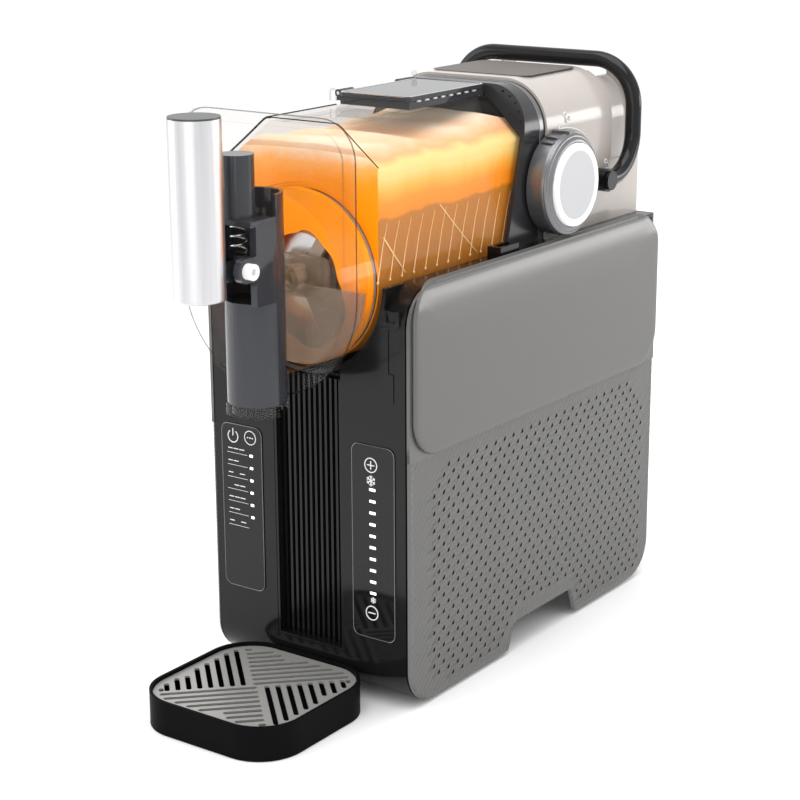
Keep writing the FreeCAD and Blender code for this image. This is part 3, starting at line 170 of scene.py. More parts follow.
def clear(name, color=(1, 1, 1), rough=0.03, ior=1.30, weight=1.0, spread=0.02):
    """Clear or smoked moulded plastic: light passes, edges darken, faint flow marks."""
    m, nt, b = shader(name)
    v = coords(nt)
    n = nt.nodes.new("ShaderNodeTexNoise")
    n.inputs["Scale"].default_value = 14
    link(nt, v, n.inputs["Vector"])
    link(nt, ramp(nt, n.outputs["Fac"], [(0.3, tint(color, 1 - spread)), (0.7, color)]), b.inputs["Base Color"])
    mr = nt.nodes.new("ShaderNodeMapRange")
    mr.inputs["To Min"].default_value = rough
    mr.inputs["To Max"].default_value = rough + 0.03
    link(nt, n.outputs["Fac"], mr.inputs["Value"])
    link(nt, mr.outputs["Result"], b.inputs["Roughness"])
    b.inputs["Transmission Weight"].default_value = weight
    b.inputs["IOR"].default_value = ior
    return m


def thin_clear(name, tone=(0.975, 0.97, 0.965), edge=(0.30, 0.29, 0.285), gloss=1.0):
    """Clear moulding seen as a thin wall: it passes light straight through, darkens where it is seen
    edge-on and keeps its surface shine; flow marks vary both."""
    m, nt, b = shader(name)
    v = coords(nt)
    n = nt.nodes.new("ShaderNodeTexNoise")
    n.inputs["Scale"].default_value = 16
    link(nt, v, n.inputs["Vector"])
    lw = nt.nodes.new("ShaderNodeLayerWeight")
    lw.inputs["Blend"].default_value = 0.5
    ma = nt.nodes.new("ShaderNodeMath")
    ma.operation = "MULTIPLY_ADD"
    link(nt, n.outputs["Fac"], ma.inputs[0])
    ma.inputs[1].default_value = 0.03
    link(nt, lw.outputs["Facing"], ma.inputs[2])
    tr = nt.nodes.new("ShaderNodeBsdfTransparent")
    link(nt, ramp(nt, ma.outputs[0], [(0.0, tone), (0.80, tint(tone, 0.97)), (0.93, tint(tone, 0.80)), (1.0, edge)]), tr.inputs["Color"])
    mr = nt.nodes.new("ShaderNodeMapRange")
    mr.inputs["To Min"].default_value = 0.0
    mr.inputs["To Max"].default_value = 0.04
    link(nt, n.outputs["Fac"], mr.inputs["Value"])
    link(nt, mr.outputs["Result"], b.inputs["Roughness"])
    b.inputs["Metallic"].default_value = 1.0
    link(nt, ramp(nt, n.outputs["Fac"], [(0.3, (0.93, 0.93, 0.94)), (0.7, (0.98, 0.98, 0.98))]), b.inputs["Base Color"])
    k = gloss
    shine = ramp(nt, ma.outputs[0], [(0.0, (0.006 * k,) * 3), (0.5, (0.014 * k,) * 3), (0.76, (0.06 * k,) * 3), (0.9, (0.2 * k,) * 3), (1.0, (0.5 * k,) * 3)])
    mx = nt.nodes.new("ShaderNodeMixShader")
    link(nt, shine, mx.inputs["Fac"])
    link(nt, tr.outputs["BSDF"], mx.inputs[1])
    link(nt, b.outputs["BSDF"], mx.inputs[2])
    link(nt, mx.outputs["Shader"], nt.nodes["Material Output"].inputs["Surface"])
    return m


def glow(name, color, strength):
    m, nt, b = shader(name)
    v = coords(nt)
    n = nt.nodes.new("ShaderNodeTexNoise")
    n.inputs["Scale"].default_value = 300
    link(nt, v, n.inputs["Vector"])
    link(nt, ramp(nt, n.outputs["Fac"], [(0.3, tint(color, 0.94)), (0.7, color)]), b.inputs["Emission Color"])
    b.inputs["Emission Strength"].default_value = strength
    b.inputs["Base Color"].default_value = (*color, 1)
    return m


def brushed(name, color, rough=0.3, axis="X", bump=0.08):
    st = {"X": (0.4, 30, 30), "Y": (30, 0.4, 30), "Z": (30, 30, 0.4)}[axis]
    return solid(name, color, rough, 1.0, 0.06, 14, bump, st, rspread=0.06)


M = {
    "panel_grey": solid("panel_grey", (0.130, 0.128, 0.123), 0.40, 0.45, 0.02, 40, 0.0, rspread=0.01),
    "cover_grey": solid("cover_grey", (0.115, 0.113, 0.109), 0.30, 0.45, 0.01, 40, 0.0, rspread=0.005),
    "front_black": solid("front_black", (0.008, 0.008, 0.0085), 0.12, 0.0, 0.05, 30, 0.0, ior=1.4, spec=0.32),
    "rib_black": solid("rib_black", (0.006, 0.006, 0.0065), 0.2, 0.0, 0.05, 30, 0.01, ior=1.33),
    "touch_strip": solid("touch_strip", (0.006, 0.006, 0.007), 0.06, 0.0, 0.05, 30, 0.0, ior=1.36),
    "deck_black": solid("deck_black", (0.006, 0.006, 0.0065), 0.2, 0.0, 0.05, 30, 0.02, ior=1.36),
    "base_black": solid("base_black", (0.02, 0.02, 0.021), 0.5, 0.0, 0.06, 40, 0.05),
    "rubber_black": solid("rubber_black", (0.014, 0.014, 0.014), 0.8, 0.0, 0.06, 50, 0.1),
    "zinc_steel": solid("zinc_steel", (0.55, 0.56, 0.57), 0.38, 1.0, 0.08, 25, 0.04),
    "stainless": brushed("stainless", (0.62, 0.62, 0.63), 0.24, "Y"),
    "grille_steel": solid("grille_steel", (0.36, 0.355, 0.34), 0.38, 0.35, 0.05, 60, 0.05, (0.6, 14, 14)),
    "copper": solid("copper", (0.78, 0.36, 0.18), 0.32, 1.0, 0.08, 30, 0.03),
    "vessel_clear": thin_clear("vessel_clear"),
    "smoked": clear("smoked", (0.05, 0.052, 0.06), 0.05, 1.40, 0.3),
    "smoked_dark": clear("smoked_dark", (0.035, 0.037, 0.042), 0.04, 1.42, 0.7),
    "white_plastic": solid("white_plastic", (0.86, 0.86, 0.86), 0.3, 0.0, 0.02, 40, 0.01),
    "lever_silver": brushed("lever_silver", (0.60, 0.60, 0.61), 0.33, "Z", 0.03),
    "lever_cap": solid("lever_cap", (0.055, 0.057, 0.06), 0.35, 0.2, 0.05, 40, 0.02),
    "auger_plastic": solid("auger_plastic", (0.40, 0.33, 0.26), 0.3, 0.0, 0.06, 30, 0.02),
    "gear_nylon": solid("gear_nylon", (0.82, 0.80, 0.74), 0.45, 0.0, 0.04, 40, 0.02),
    "gearcase_black": solid("gearcase_black", (0.04, 0.04, 0.042), 0.45, 0.0, 0.06, 40, 0.04),
    "motor_steel": solid("motor_steel", (0.5, 0.5, 0.52), 0.35, 1.0, 0.06, 30, 0.02),
    "bearing_brass": solid("bearing_brass", (0.72, 0.54, 0.26), 0.35, 1.0, 0.06, 30, 0.02),
    "collar_dark": solid("collar_dark", (0.022, 0.022, 0.024), 0.2, 0.0, 0.05, 30, 0.01, ior=1.42),
    "housing_champagne": solid("housing_champagne", (0.42, 0.38, 0.352), 0.16, 0.0, 0.02, 30, 0.0, coat=0.08, rspread=0.005),
    "housing_inset": solid("housing_inset", (0.13, 0.116, 0.106), 0.5, 0.0, 0.03, 30, 0.01, ior=1.3, spec=0.2),
    "knob_grey": solid("knob_grey", (0.17, 0.17, 0.178), 0.24, 0.7, 0.03, 30, 0.01),
    "knob_face": solid("knob_face", (0.42, 0.42, 0.43), 0.34, 0.15, 0.015, 40, 0.02),
    "bail_black": solid("bail_black", (0.006, 0.006, 0.0065), 0.13, 0.0, 0.05, 30, 0.0, ior=1.42, spec=0.36),
    "tray_black": solid("tray_black", (0.005, 0.005, 0.0055), 0.42, 0.0, 0.04, 40, 0.02, ior=1.25, spec=0.05),
    "compressor_black": solid("compressor_black", (0.02, 0.02, 0.022), 0.35, 0.0, 0.05, 30, 0.03),
    "condenser_alu": solid("condenser_alu", (0.7, 0.71, 0.72), 0.35, 1.0, 0.05, 30, 0.03),
    "fan_plastic": solid("fan_plastic", (0.05, 0.05, 0.055), 0.4, 0.0, 0.05, 30, 0.02),
    "pcb_green": solid("pcb_green", (0.03, 0.17, 0.07), 0.35, 0.0, 0.12, 160, 0.02),
}
CHROME = solid("bright_ring", (0.92, 0.92, 0.93), 0.12, 0.9, 0.02, 40, 0.0)
WHITE_RING = solid("white_ring", (0.92, 0.92, 0.92), 0.25, 0.0, 0.01, 40, 0.0)
MARK = solid("mark_white", (0.72, 0.72, 0.72), 0.4, 0.0, 0.02, 60, 0.0)
LED = glow("led_white", (1.0, 1.0, 1.0), 1.0)
NOSE = clear("auger_nose_clear", (0.62, 0.50, 0.38), 0.10, 1.25, 0.75)
SLOT_OF = {s["node"]: s["material_slot"] for s in REC["subparts"]}
for name, o in NODES.items():
    o.data.materials.clear()
    o.data.materials.append(NOSE if name == "auger_nose" else M[SLOT_OF[name]])


# ------------------------------------------------------------------ mesh tools
def obj(name, verts, faces, mat, body="root", smooth=True, rep=(), slotn=None, angle=40, mm=True):
    me = bpy.data.meshes.new(name)
    me.from_pydata([P(*v) if mm else v for v in verts], [], faces)
    me.validate()
    o = bpy.data.objects.new(name, me)
    bpy.context.scene.collection.objects.link(o)
    return dress(o, mat, body, smooth, rep, angle)


def dress(o, mat, body="root", smooth=True, rep=(), angle=40):
    o.data.materials.clear()
    o.data.materials.append(mat)
    if smooth:
        crease(o, angle)
    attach(o, body)
    if rep:
        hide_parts(*rep)
    return o


def crease(o, angle=40):
    me = o.data
    for p in me.polygons:
        p.use_smooth = True
    bm = bmesh.new()
    bm.from_mesh(me)
    lim = math.radians(angle)
    for e in bm.edges:
        e.smooth = len(e.link_faces) == 2 and e.calc_face_angle(0.0) < lim
    bm.to_mesh(me)
    bm.free()


def loops(rings, closed=True, cap0=False, cap1=False):
    """Skin a list of equal-length point rings."""
    v, f = [], []
    n = len(rings[0])
    for r in rings:
        v += [tuple(p) for p in r]
    for i in range(len(rings) - 1):
        for j in range(n if closed else n - 1):
            k = (j + 1) % n
            f.append((i * n + j, i * n + k, (i + 1) * n + k, (i + 1) * n + j))
    if cap0:
        f.append(tuple(reversed(range(n))))
    if cap1:
        f.append(tuple((len(rings) - 1) * n + j for j in range(n)))
    return v, f


def lathe(prof, centre, axis, n=96, a0=0.0, a1=360.0):
    """Turn (radius, height) pairs round an axis through centre."""
    cx, cy, cz = centre
    full = abs(a1 - a0) >= 359.9
    rings = []
    for r, h in prof:
        ring = []
        for i in range(n if full else n + 1):
            a = math.radians(a0 + (a1 - a0) * i / n)
            u, w = r * math.cos(a), r * math.sin(a)
            ring.append({"X": (cx + h, cy + u, cz + w), "Y": (cx + w, cy + h, cz + u), "Z": (cx + u, cy + w, cz + h)}[axis])
        rings.append(ring)
    return loops(rings, closed=full)


def tube(points, r, n=12, closed=False):
    """A round wire through points (millimetres)."""
    pts = [Vector(p) for p in points]
    rings = []
    up = None
    m = len(pts)
    for i, p in enumerate(pts):
        a = pts[(i - 1) % m] if (i > 0 or closed) else pts[i]
        b = pts[(i + 1) % m] if (i < m - 1 or closed) else pts[i]
        t = (b - a).normalized()
        if up is None:
            up = Vector((0, 0, 1)) if abs(t.z) < 0.9 else Vector((1, 0, 0))
        s = t.cross(up).normalized()
        up = s.cross(t).normalized()
        rr = r[i] if isinstance(r, (list, tuple)) else r
        rings.append([p + s * rr * math.cos(2 * math.pi * k / n) + up * rr * math.sin(2 * math.pi * k / n) for k in range(n)])
    if closed:
        rings.append(rings[0])
    v, f = loops(rings, cap0=not closed, cap1=not closed)
    return v, f


def join(*parts):
    v, f = [], []
    for a, b in parts:
        n = len(v)
        v += list(a)
        f += [tuple(i + n for i in q) for q in b]
    return v, f


def block(x0, x1, y0, y1, z0, z1, c=0.4):
    """A box with chamfered edges, as mesh data."""
    bm = bmesh.new()
    bmesh.ops.create_cube(bm, size=1)
    for v in bm.verts:
        v.co = Vector(((x0 + x1) / 2 + v.co.x * (x1 - x0), (y0 + y1) / 2 + v.co.y * (y1 - y0), (z0 + z1) / 2 + v.co.z * (z1 - z0)))
    if c:
        bmesh.ops.bevel(bm, geom=list(bm.edges), offset=c, segments=2, profile=0.7, affect="EDGES")
    v = [tuple(p.co) for p in bm.verts]
    bm.verts.index_update()
    f = [tuple(q.index for q in p.verts) for p in bm.faces]
    bm.free()
    return v, f


def slab(outline, lift, at0, at1, c=0.3):
    """Pad a flat outline; lift(u, w, h) places it. Top edge is chamfered by c."""
    cu = sum(p[0] for p in outline) / len(outline)
    cw = sum(p[1] for p in outline) / len(outline)

    def ring(h, inset):
        out = []
        n = len(outline)
        for i, p in enumerate(outline):
            a, b = outline[i - 1], outline[(i + 1) % n]
            t = Vector((b[0] - a[0], b[1] - a[1])).normalized()
            nrm = Vector((-t.y, t.x))
            if nrm.dot(Vector((cu - p[0], cw - p[1]))) < 0:
                nrm = -nrm
            out.append(lift(p[0] + nrm.x * inset, p[1] + nrm.y * inset, h))
        return out
    s = 1 if at1 > at0 else -1
    return loops([ring(at0, 0), ring(at1 - s * c, 0), ring(at1, c)], cap0=True, cap1=True)


def rrect(u0, u1, w0, w1, r, n=8):
    rs = r if isinstance(r, (list, tuple)) else (r, r, r, r)
    out = []
    for (cu, cw, su, sw, a0), rr in zip((((u1), (w0), -1, 1, -90), ((u1), (w1), -1, -1, 0), ((u0), (w1), 1, -1, 90), ((u0), (w0), 1, 1, 180)), rs):
        for i in range(n + 1):
            a = math.radians(a0 + 90 * i / n)
            out.append((cu + su * rr + rr * math.cos(a), cw + sw * rr + rr * math.sin(a)))
    return out


def soften(o, w=0.35, seg=2):
    m = o.modifiers.new("edge", "BEVEL")
    m.width = w * 0.001
    m.segments = seg
    m.limit_method = "ANGLE"
    m.angle_limit = math.radians(50)
    m.harden_normals = False
    return o


# ------------------------------------------------------------------ ribbed side panels
L1, L2Y, L2Z = 11.6, 5.8, 6.15
HY, HZ = 46.7, 164.0


def sdf(y, z):
    """Distance inside the panel's outline (positive inside)."""
    r = 28.0 if z < 145 else 25.0
    cy, cz = 165.0, 145.35
    dx, dz = abs(y - cy) - (165.0 - r), abs(z - cz) - (145.35 - r)
    d = -(math.hypot(max(dx, 0), max(dz, 0)) + min(max(dx, dz), 0) - r)
    if 118 < y < 224 and z < 34:
        # tapered air notch, rounded in its upper corners
        a = 124 + z * 0.45
        b = 217 - z * 0.4
        q = max(a - y, y - b, z - 20.0)
        if q > 0 and z > 20 and a < y < b:
            q = z - 20.0
        d = min(d, q)
    return d


def hole_here(y, z):
    if z > 165.5 or z < 7 or y < 24 or y > 315:
        return False
    if sdf(y, z) < 9.0:
        return False
    if y + z * 0.94 < 60 and z < 60 and sdf(y, z) < 12:
        return False
    if (y - 288.7) + (z - 164.0) * 1.03 > 3.0 and z > 100:
        return False
    return (164.5 - z) + (y - 46.0) * 1.03 > -1.0 if y < 48 else True


def ribbed(sign):
    bm = bmesh.new()
    A, B = 8, 6          # divisions of a cell across and along the ribs
    cache = {}

    def vert(y, z):
        k = (round(y, 2), round(z, 2))
        if k not in cache:
            cache[k] = bm.verts.new((0.0, y, z))
        return cache[k]
    i0, i1 = -40, 60
    for j in range(-30, 28):
        cz = HZ - 0 + j * L2Z
        if cz < -8 or cz > 182:
            continue
        for i in range(i0, i1):
            cy = HY + i * L1 + j * L2Y
            if cy < -14 or cy > 344:
                continue

            def at(a, b):
                return cy + (a - 0.5) * L1 + (b - 0.5) * L2Y, cz + (b - 0.5) * L2Z
            grid = [[at(a / A, b / B) for a in range(A + 1)] for b in range(B + 1)]
            if hole_here(cy, cz):
                # boundary loop of the cell and an oblong hole leaning with the ribs
                loop = [grid[0][a] for a in range(A)] + [grid[b][A] for b in range(B)] + \
                       [grid[B][A - a] for a in range(A)] + [grid[B - b][0] for b in range(B)]
                inner, midr = [], []
                for (y, z) in loop:
                    ang = math.atan2(z - cz, y - cy)
                    # oblong: 2.1 wide, 3.6 long, axis 62 degrees above the horizontal
                    t = math.radians(62)
                    c, s = math.cos(ang - t), math.sin(ang - t)
                    r = 1.0 / math.sqrt((c / 1.95) ** 2 + (s / 1.0) ** 2)
                    inner.append((cy + r * math.cos(ang), cz + r * math.sin(ang)))
                    r2 = r + 0.5
                    midr.append((cy + r2 * math.cos(ang), cz + r2 * math.sin(ang)))
                n = len(loop)
                lo = [vert(*p) for p in loop]
                mi = [vert(*p) for p in midr]
                il = [vert(*p) for p in inner]
                for k in range(n):
                    k2 = (k + 1) % n
                    for r0, r1 in ((lo, mi), (mi, il)):
                        try:
                            bm.faces.new((r0[k], r0[k2], r1[k2], r1[k]))
                        except ValueError:
                            pass
            else:
                for b in range(B):
                    for a in range(A):
                        try:
                            bm.faces.new((vert(*grid[b][a]), vert(*grid[b][a + 1]), vert(*grid[b + 1][a + 1]), vert(*grid[b + 1][a])))
                        except ValueError:
                            pass
    # plain field above the ribs, hidden behind the cover
    def cutp(co, no, clear=True):
        g = list(bm.verts) + list(bm.edges) + list(bm.faces)
        bmesh.ops.bisect_plane(bm, geom=g, plane_co=co, plane_no=no, clear_outer=clear, dist=1e-4)
    cutp((0, 0, 176.0), (0, 0, 1))
    cutp((0, 0, 0), (0, 0, -1))
    cutp((0, 0, 0), (0, -1, 0))
    cutp((0, 330, 0), (0, 1, 0))
    for inset in (1.2, 2.4):
        cutp((0, 0, inset), (0, 0, -1), False)
        cutp((0, inset, 0), (0, -1, 0), False)
        cutp((0, 330 - inset, 0), (0, 1, 0), False)
    for k in range(10):
        a = math.radians(4.5 + 9 * k)
        cutp((0, 28 - 28 * math.cos(a), 28 - 28 * math.sin(a)), (0, -math.cos(a), -math.sin(a)))
        cutp((0, 302 + 28 * math.cos(a), 28 - 28 * math.sin(a)), (0, math.cos(a), -math.sin(a)))
    cutp((0, 0, 20), (0, 0, 1), False)
    cutp((0, 124, 0), (0, -1, 0.45), False)
    cutp((0, 217, 0), (0, 1, 0.4), False)
    kill = []
    for f in bm.faces:
        c = f.calc_center_median()
        if c.z < 20 and 124 + 0.45 * c.z < c.y < 217 - 0.4 * c.z:
            kill.append(f)
    bmesh.ops.delete(bm, geom=kill, context="FACES")
    for v in bm.verts:
        y, z = v.co.y, v.co.z
        d = sdf(y, z)
        edge = 0.0
        if d < 2.4:
            edge = 2.0 - math.sqrt(max(0.0, 4.0 - (2.0 - max(0.0, d) / 1.2) ** 2))
        ph = (y - HY - (z - HZ) * L2Y / L2Z) / (L1 / 2.0)
        w = 0.5 + 0.5 * math.cos(2 * math.pi * ph)
        amp = 0.85 * min(1.0, max(0.0, (d - 1.6) / 1.6)) * min(1.0, max(0.0, (175.5 - z) / 1.5))
        v.co.x = 84.9 - edge - amp * (w ** 1.4)
    # upper plain sheet
    n0 = len(bm.verts)
    ys = [0, 0.8, 2.4] + [8 + k * 6.04 for k in range(53)] + [327.6, 329.2, 330]
    ys = [y for y in ys if y <= 330]
    zs = [176.0 + k * (265.7 - 176.0) / 6 for k in range(7)]
    rows = [[bm.verts.new((84.9, y, z)) for y in ys] for z in zs]
    for k in range(1, 7):
        a = math.radians(90 * k / 6)
        z = 265.7 + 25 * math.sin(a)
        y0 = 25 - 25 * math.cos(a)
        rows.append([bm.verts.new((84.9, y0 + (y / 330.0) * (330 - 2 * y0), z)) for y in ys])
    for r0, r1 in zip(rows, rows[1:]):
        for a in range(len(ys) - 1):
            bm.faces.new((r0[a], r0[a + 1], r1[a + 1], r1[a]))
    bmesh.ops.remove_doubles(bm, verts=list(bm.verts), dist=0.02)
    bmesh.ops.recalc_face_normals(bm, faces=list(bm.faces))
    if sum(f.normal.x for f in bm.faces) < 0:
        bmesh.ops.reverse_faces(bm, faces=list(bm.faces))
    if sign < 0:
        for v in bm.verts:
            v.co.x = -v.co.x
        bmesh.ops.reverse_faces(bm, faces=list(bm.faces))
    for v in bm.verts:
        v.co = P(*v.co)
    me = bpy.data.meshes.new("ribbed_panel")
    bm.to_mesh(me)
    bm.free()
    side = "right" if sign > 0 else "left"
    o = bpy.data.objects.new("ribbed_panel_" + side, me)
    bpy.context.scene.collection.objects.link(o)
    sm = o.modifiers.new("wall", "SOLIDIFY")
    sm.thickness = 0.0022
    sm.offset = -1
    dress(o, M["panel_grey"], "root", True, ("side_panel_" + side,), 60)


ribbed(1)
ribbed(-1)


# ------------------------------------------------------------------ smooth cover panels
def cover(sign):
    y0, y1, z0, z1, R = 3.0, 328.0, 176.5, 294.0, 26.0

    def outline(inset, n=12):
        return rrect(y0 + inset, y1 - inset, z0 + inset, z1 - inset, max(2.0, R - inset), n)

    def depth(z, base):
        if z <= 276.5:
            return base
        return base - 2.9 * (z - 276.5) / 14.2 - (0.6 * (z - 290.7) if z > 290.7 else 0.0)
    rings = []
    for inset, xb in ((0.9, 84.95), (0.0, 85.4), (0.0, 86.6), (0.35, 87.4), (0.95, 87.85), (1.8, 88.0), (6, 88.0), (12, 88.0), (20, 88.0), (40, 88.0)):
        rings.append([(depth(z, xb) if xb > 86 else min(xb, depth(z, 88.0) - 0.6), y, z) for y, z in outline(inset)])
    rings = [[(x * sign, y, z) for x, y, z in r] for r in rings]
    v, f = loops(rings, cap0=False, cap1=False)
    # centre field as one face filling the last ring
    base = len(v) - len(rings[-1])
    f.append(tuple(range(base, len(v))))
    f.append(tuple(reversed(range(len(rings[0])))))
    side = "right" if sign > 0 else "left"
    o = obj("smooth_cover_" + side, v, f, M["cover_grey"], rep=("cover_panel_" + side,), slotn="cover_grey", angle=35)
    bm = bmesh.new()
    bm.from_mesh(o.data)
    bmesh.ops.recalc_face_normals(bm, faces=list(bm.faces))
    bm.to_mesh(o.data)
    bm.free()
    crease(o, 35)
    # inner return that hooks over the deck's edge
    ins = slab(rrect(30, 301, 81.2, 84.4, 0.8, 3), lambda u, w, h: (w * sign, u, h), 290.95, 293.2, 0.4)
    obj("cover_return_" + side, *ins, M["cover_grey"], slotn="cover_grey")


cover(1)
cover(-1)

# ------------------------------------------------------------------ front face details
def front(u, w, h):
    return (u, h, w)


def wire(pts, r=0.4, y=-1.0, n=6, closed=False):
    return tube([(u, y, w) for u, w in pts], r, n, closed)


def circle_pts(cu, cw, r, a0=0, a1=360, n=32):
    full = abs(a1 - a0) >= 360
    return [(cu + r * math.cos(math.radians(a0 + (a1 - a0) * i / n)), cw + r * math.sin(math.radians(a0 + (a1 - a0) * i / n))) for i in range(n if full else n + 1)]


def bar(u0, w0, u1, w1, r=0.4, y=-1.0):
    return wire([(u0, w0), (u1, w1)], r, y)


icons = []
# power symbol in no ring, and the start button ring with a plain dot row
icons.append(wire(circle_pts(-64.9, 169.3, 4.4, 125, 415, 28), 0.42))
icons.append(bar(-64.9, 169.8, -64.9, 175.0, 0.42))
icons.append(wire(circle_pts(-49.5, 170.4, 4.9), 0.34, closed=True))
for k in (-1, 0, 1):
    icons.append(bar(-49.5 + 2.1 * k - 0.5, 170.4, -49.5 + 2.1 * k + 0.5, 170.4, 0.5))
# plus and minus rings
for cw, plus in ((169.7, True), (64.6, False)):
    icons.append(wire(circle_pts(54.1, cw, 4.9), 0.4, closed=True))
    icons.append(bar(51.2, cw, 57.0, cw, 0.4))
    if plus:
        icons.append(bar(54.1, cw - 2.9, 54.1, cw + 2.9, 0.4))
# snow crystals
for cu, cw, r, t in ((54.2, 158.9, 3.8, 0.4), (55.3, 74.1, 2.2, 0.3)):
    for k in range(3):
        a = math.radians(30 + 60 * k)
        icons.append(bar(cu - r * math.cos(a), cw - r * math.sin(a), cu + r * math.cos(a), cw + r * math.sin(a), t))
        for s in (-1, 1):
            for q in (-1, 1):
                bx, bz = cu + s * r * 0.55 * math.cos(a), cw + s * r * 0.55 * math.sin(a)
                b2 = a + q * math.radians(50) + (math.pi if s < 0 else 0)
                icons.append(bar(bx, bz, bx + r * 0.4 * math.cos(b2), bz + r * 0.4 * math.sin(b2), t * 0.8))
# short underlines of the programme rows; their wording is left out
for k in range(7):
    z = 160.4 - 8.9 * k
    icons.append(bar(-70.5, z - 3.2, -52.5, z - 3.2, 0.16))
    for q, (a, b) in enumerate(((-69.5, -65.5), (-64.6, -60.4), (-59.5, -55.0))):
        if (k + q) % 4 != 3:
            icons.append(bar(a, z, b, z, 0.36))
obj("front_icons", *join(*icons), MARK)
leds = []
for k in range(6):
    z = 157.3 - 9.02 * k
    leds.append(slab(rrect(-50.4, -47.6, z - 0.95, z + 0.95, 0.35, 3), front, -0.7, -1.15, 0.15))
for k in range(10):
    z = 152.6 - 8.18 * k
    leds.append(slab(rrect(52.6, 57.6, z - 0.95, z + 0.95, 0.35, 3), front, -0.7, -1.15, 0.15))
obj("front_lights", *join(*leds), LED)
# fine frames of the touch strips
fr = []
for (a, b, c, e) in ((-75.6, -39.5, 58, 178.5), (37.8, 73.2, 46, 183.5)):
    pts = rrect(a + 0.3, b - 0.3, c + 0.3, e - 0.3, 5.7, 8)
    fr.append(wire(pts, 0.28, -0.72, 6, True))
obj("strip_frames", *join(*fr), M["knob_grey"], slotn="touch_strip")

# ------------------------------------------------------------------ slush in the vessel
AX = 292.0


def section(off, top, n=72):
    """Arch section of the vessel's inside at this offset, cut off level at height top."""
    w = 59.5 - off
    pts = []
    a0 = 0.0
    for i in range(n // 2 + 1):
        a = math.radians(180 + 180.0 * i / (n // 2))
        pts.append((w * math.cos(a), AX + w * math.sin(a)))
    sh, cz, cw = 367.0, 391.0 - off, 28.5 - off * 0.6
    m = n // 4
    # right side up, then over the surface, then down the left side
    side = []
    tz = min(top, cz - 0.5)
    if tz > sh:
        tx = w - (w - cw) * (tz - sh) / (cz - sh)
        side = [(w, AX + (sh - AX) * k / m) for k in range(1, m)] + [(w, sh), (tx, tz)]
    else:
        tx = w
        side = [(w, AX + (tz - AX) * k / m) for k in range(1, m + 1)] + [(w, tz)]
    topp = [(tx - 2 * tx * k / 16, tz + 1.6 * math.sin(math.pi * k / 16)) for k in range(1, 16)]
    left = [(-x, z) for x, z in reversed(side)]
    return pts + side + topp + left


def slush_mat(name, z0, z1, stops, wob=0.012, stretch=(1, 1, 0.4), painted_glow=0.16, bumpy=0.4, scale=30):
    m, nt, b = shader(name)
    v = coords(nt)
    vs_ = coords(nt, stretch)
    sep = nt.nodes.new("ShaderNodeSeparateXYZ")
    link(nt, v, sep.inputs["Vector"])
    n1 = nt.nodes.new("ShaderNodeTexNoise")
    n1.inputs["Scale"].default_value = scale
    n1.inputs["Detail"].default_value = 7
    n1.inputs["Distortion"].default_value = 1.0
    link(nt, vs_, n1.inputs["Vector"])
    add = nt.nodes.new("ShaderNodeMath")
    add.operation = "MULTIPLY_ADD"
    link(nt, n1.outputs["Fac"], add.inputs[0])
    add.inputs[1].default_value = wob
    link(nt, sep.outputs["Z"], add.inputs[2])
    mr = nt.nodes.new("ShaderNodeMapRange")
    mr.inputs["From Min"].default_value = (z0 + 2) * 0.001 + wob * 0.5
    mr.inputs["From Max"].default_value = (z1 + 2) * 0.001 + wob * 0.5
    link(nt, add.outputs[0], mr.inputs["Value"])
    col = ramp(nt, mr.outputs["Result"], [((z - z0) / (z1 - z0), c) for z, c in stops])
    link(nt, col, b.inputs["Base Color"])
    b.inputs["Roughness"].default_value = 0.6
    b.inputs["IOR"].default_value = 1.28
    b.inputs["Subsurface Weight"].default_value = 0.15
    b.inputs["Subsurface Radius"].default_value = (0.008, 0.004, 0.001)
    # painted light: the slush glows in its own colour so it stays bright where it lies in shade behind the clear walls
    link(nt, col, b.inputs["Emission Color"])
    b.inputs["Emission Strength"].default_value = painted_glow
    f = nt.nodes.new("ShaderNodeTexNoise")
    f.inputs["Scale"].default_value = 380
    f.inputs["Detail"].default_value = 6
    link(nt, v, f.inputs["Vector"])
    bp = nt.nodes.new("ShaderNodeBump")
    bp.inputs["Strength"].default_value = bumpy
    bp.inputs["Distance"].default_value = 0.0010
    link(nt, f.outputs["Fac"], bp.inputs["Height"])
    link(nt, bp.outputs["Normal"], b.inputs["Normal"])
    return m


# front slush: its last argument, 0.42, is a strong painted glow that lifts it out of shade
SLUSH = slush_mat("slush_front_orange_painted_glow", 230, 380, [
    (232, (0.20, 0.085, 0.03)), (262, (0.40, 0.14, 0.02)), (282, (0.74, 0.21, 0.004)), (300, (0.90, 0.26, 0.0)),
    (345, (0.92, 0.265, 0.0)), (356, (0.92, 0.29, 0.012)), (366, (0.90, 0.38, 0.09)), (371, (0.86, 0.52, 0.28)), (378, (0.88, 0.72, 0.56))], 0.016, (1, 1, 1), 0.42)
SLUSH_B = slush_mat("slush_barrel_orange_painted_glow", 285, 382, [
    (286, (0.42, 0.155, 0.02)), (330, (0.46, 0.165, 0.016)), (333.5, (0.48, 0.17, 0.016)), (336, (0.86, 0.25, 0.006)),
    (344, (0.88, 0.27, 0.012)), (352, (0.88, 0.40, 0.05)), (360, (0.86, 0.58, 0.19)), (368, (0.86, 0.62, 0.24)),
    (372, (0.82, 0.40, 0.18)), (377, (0.80, 0.52, 0.33)), (382, (0.80, 0.66, 0.50))], 0.010, (1, 1, 0.25))
AMBER = clear("slush_amber", (1.0, 0.50, 0.14), 0.12, 1.06, 0.9)
AMBER_LINE = solid("slush_line", (0.98, 0.66, 0.32), 0.4, 0.0, 0.04, 60, 0.0)
PALE = clear("slush_pale", (0.98, 0.80, 0.66), 0.2, 1.05, 0.8)


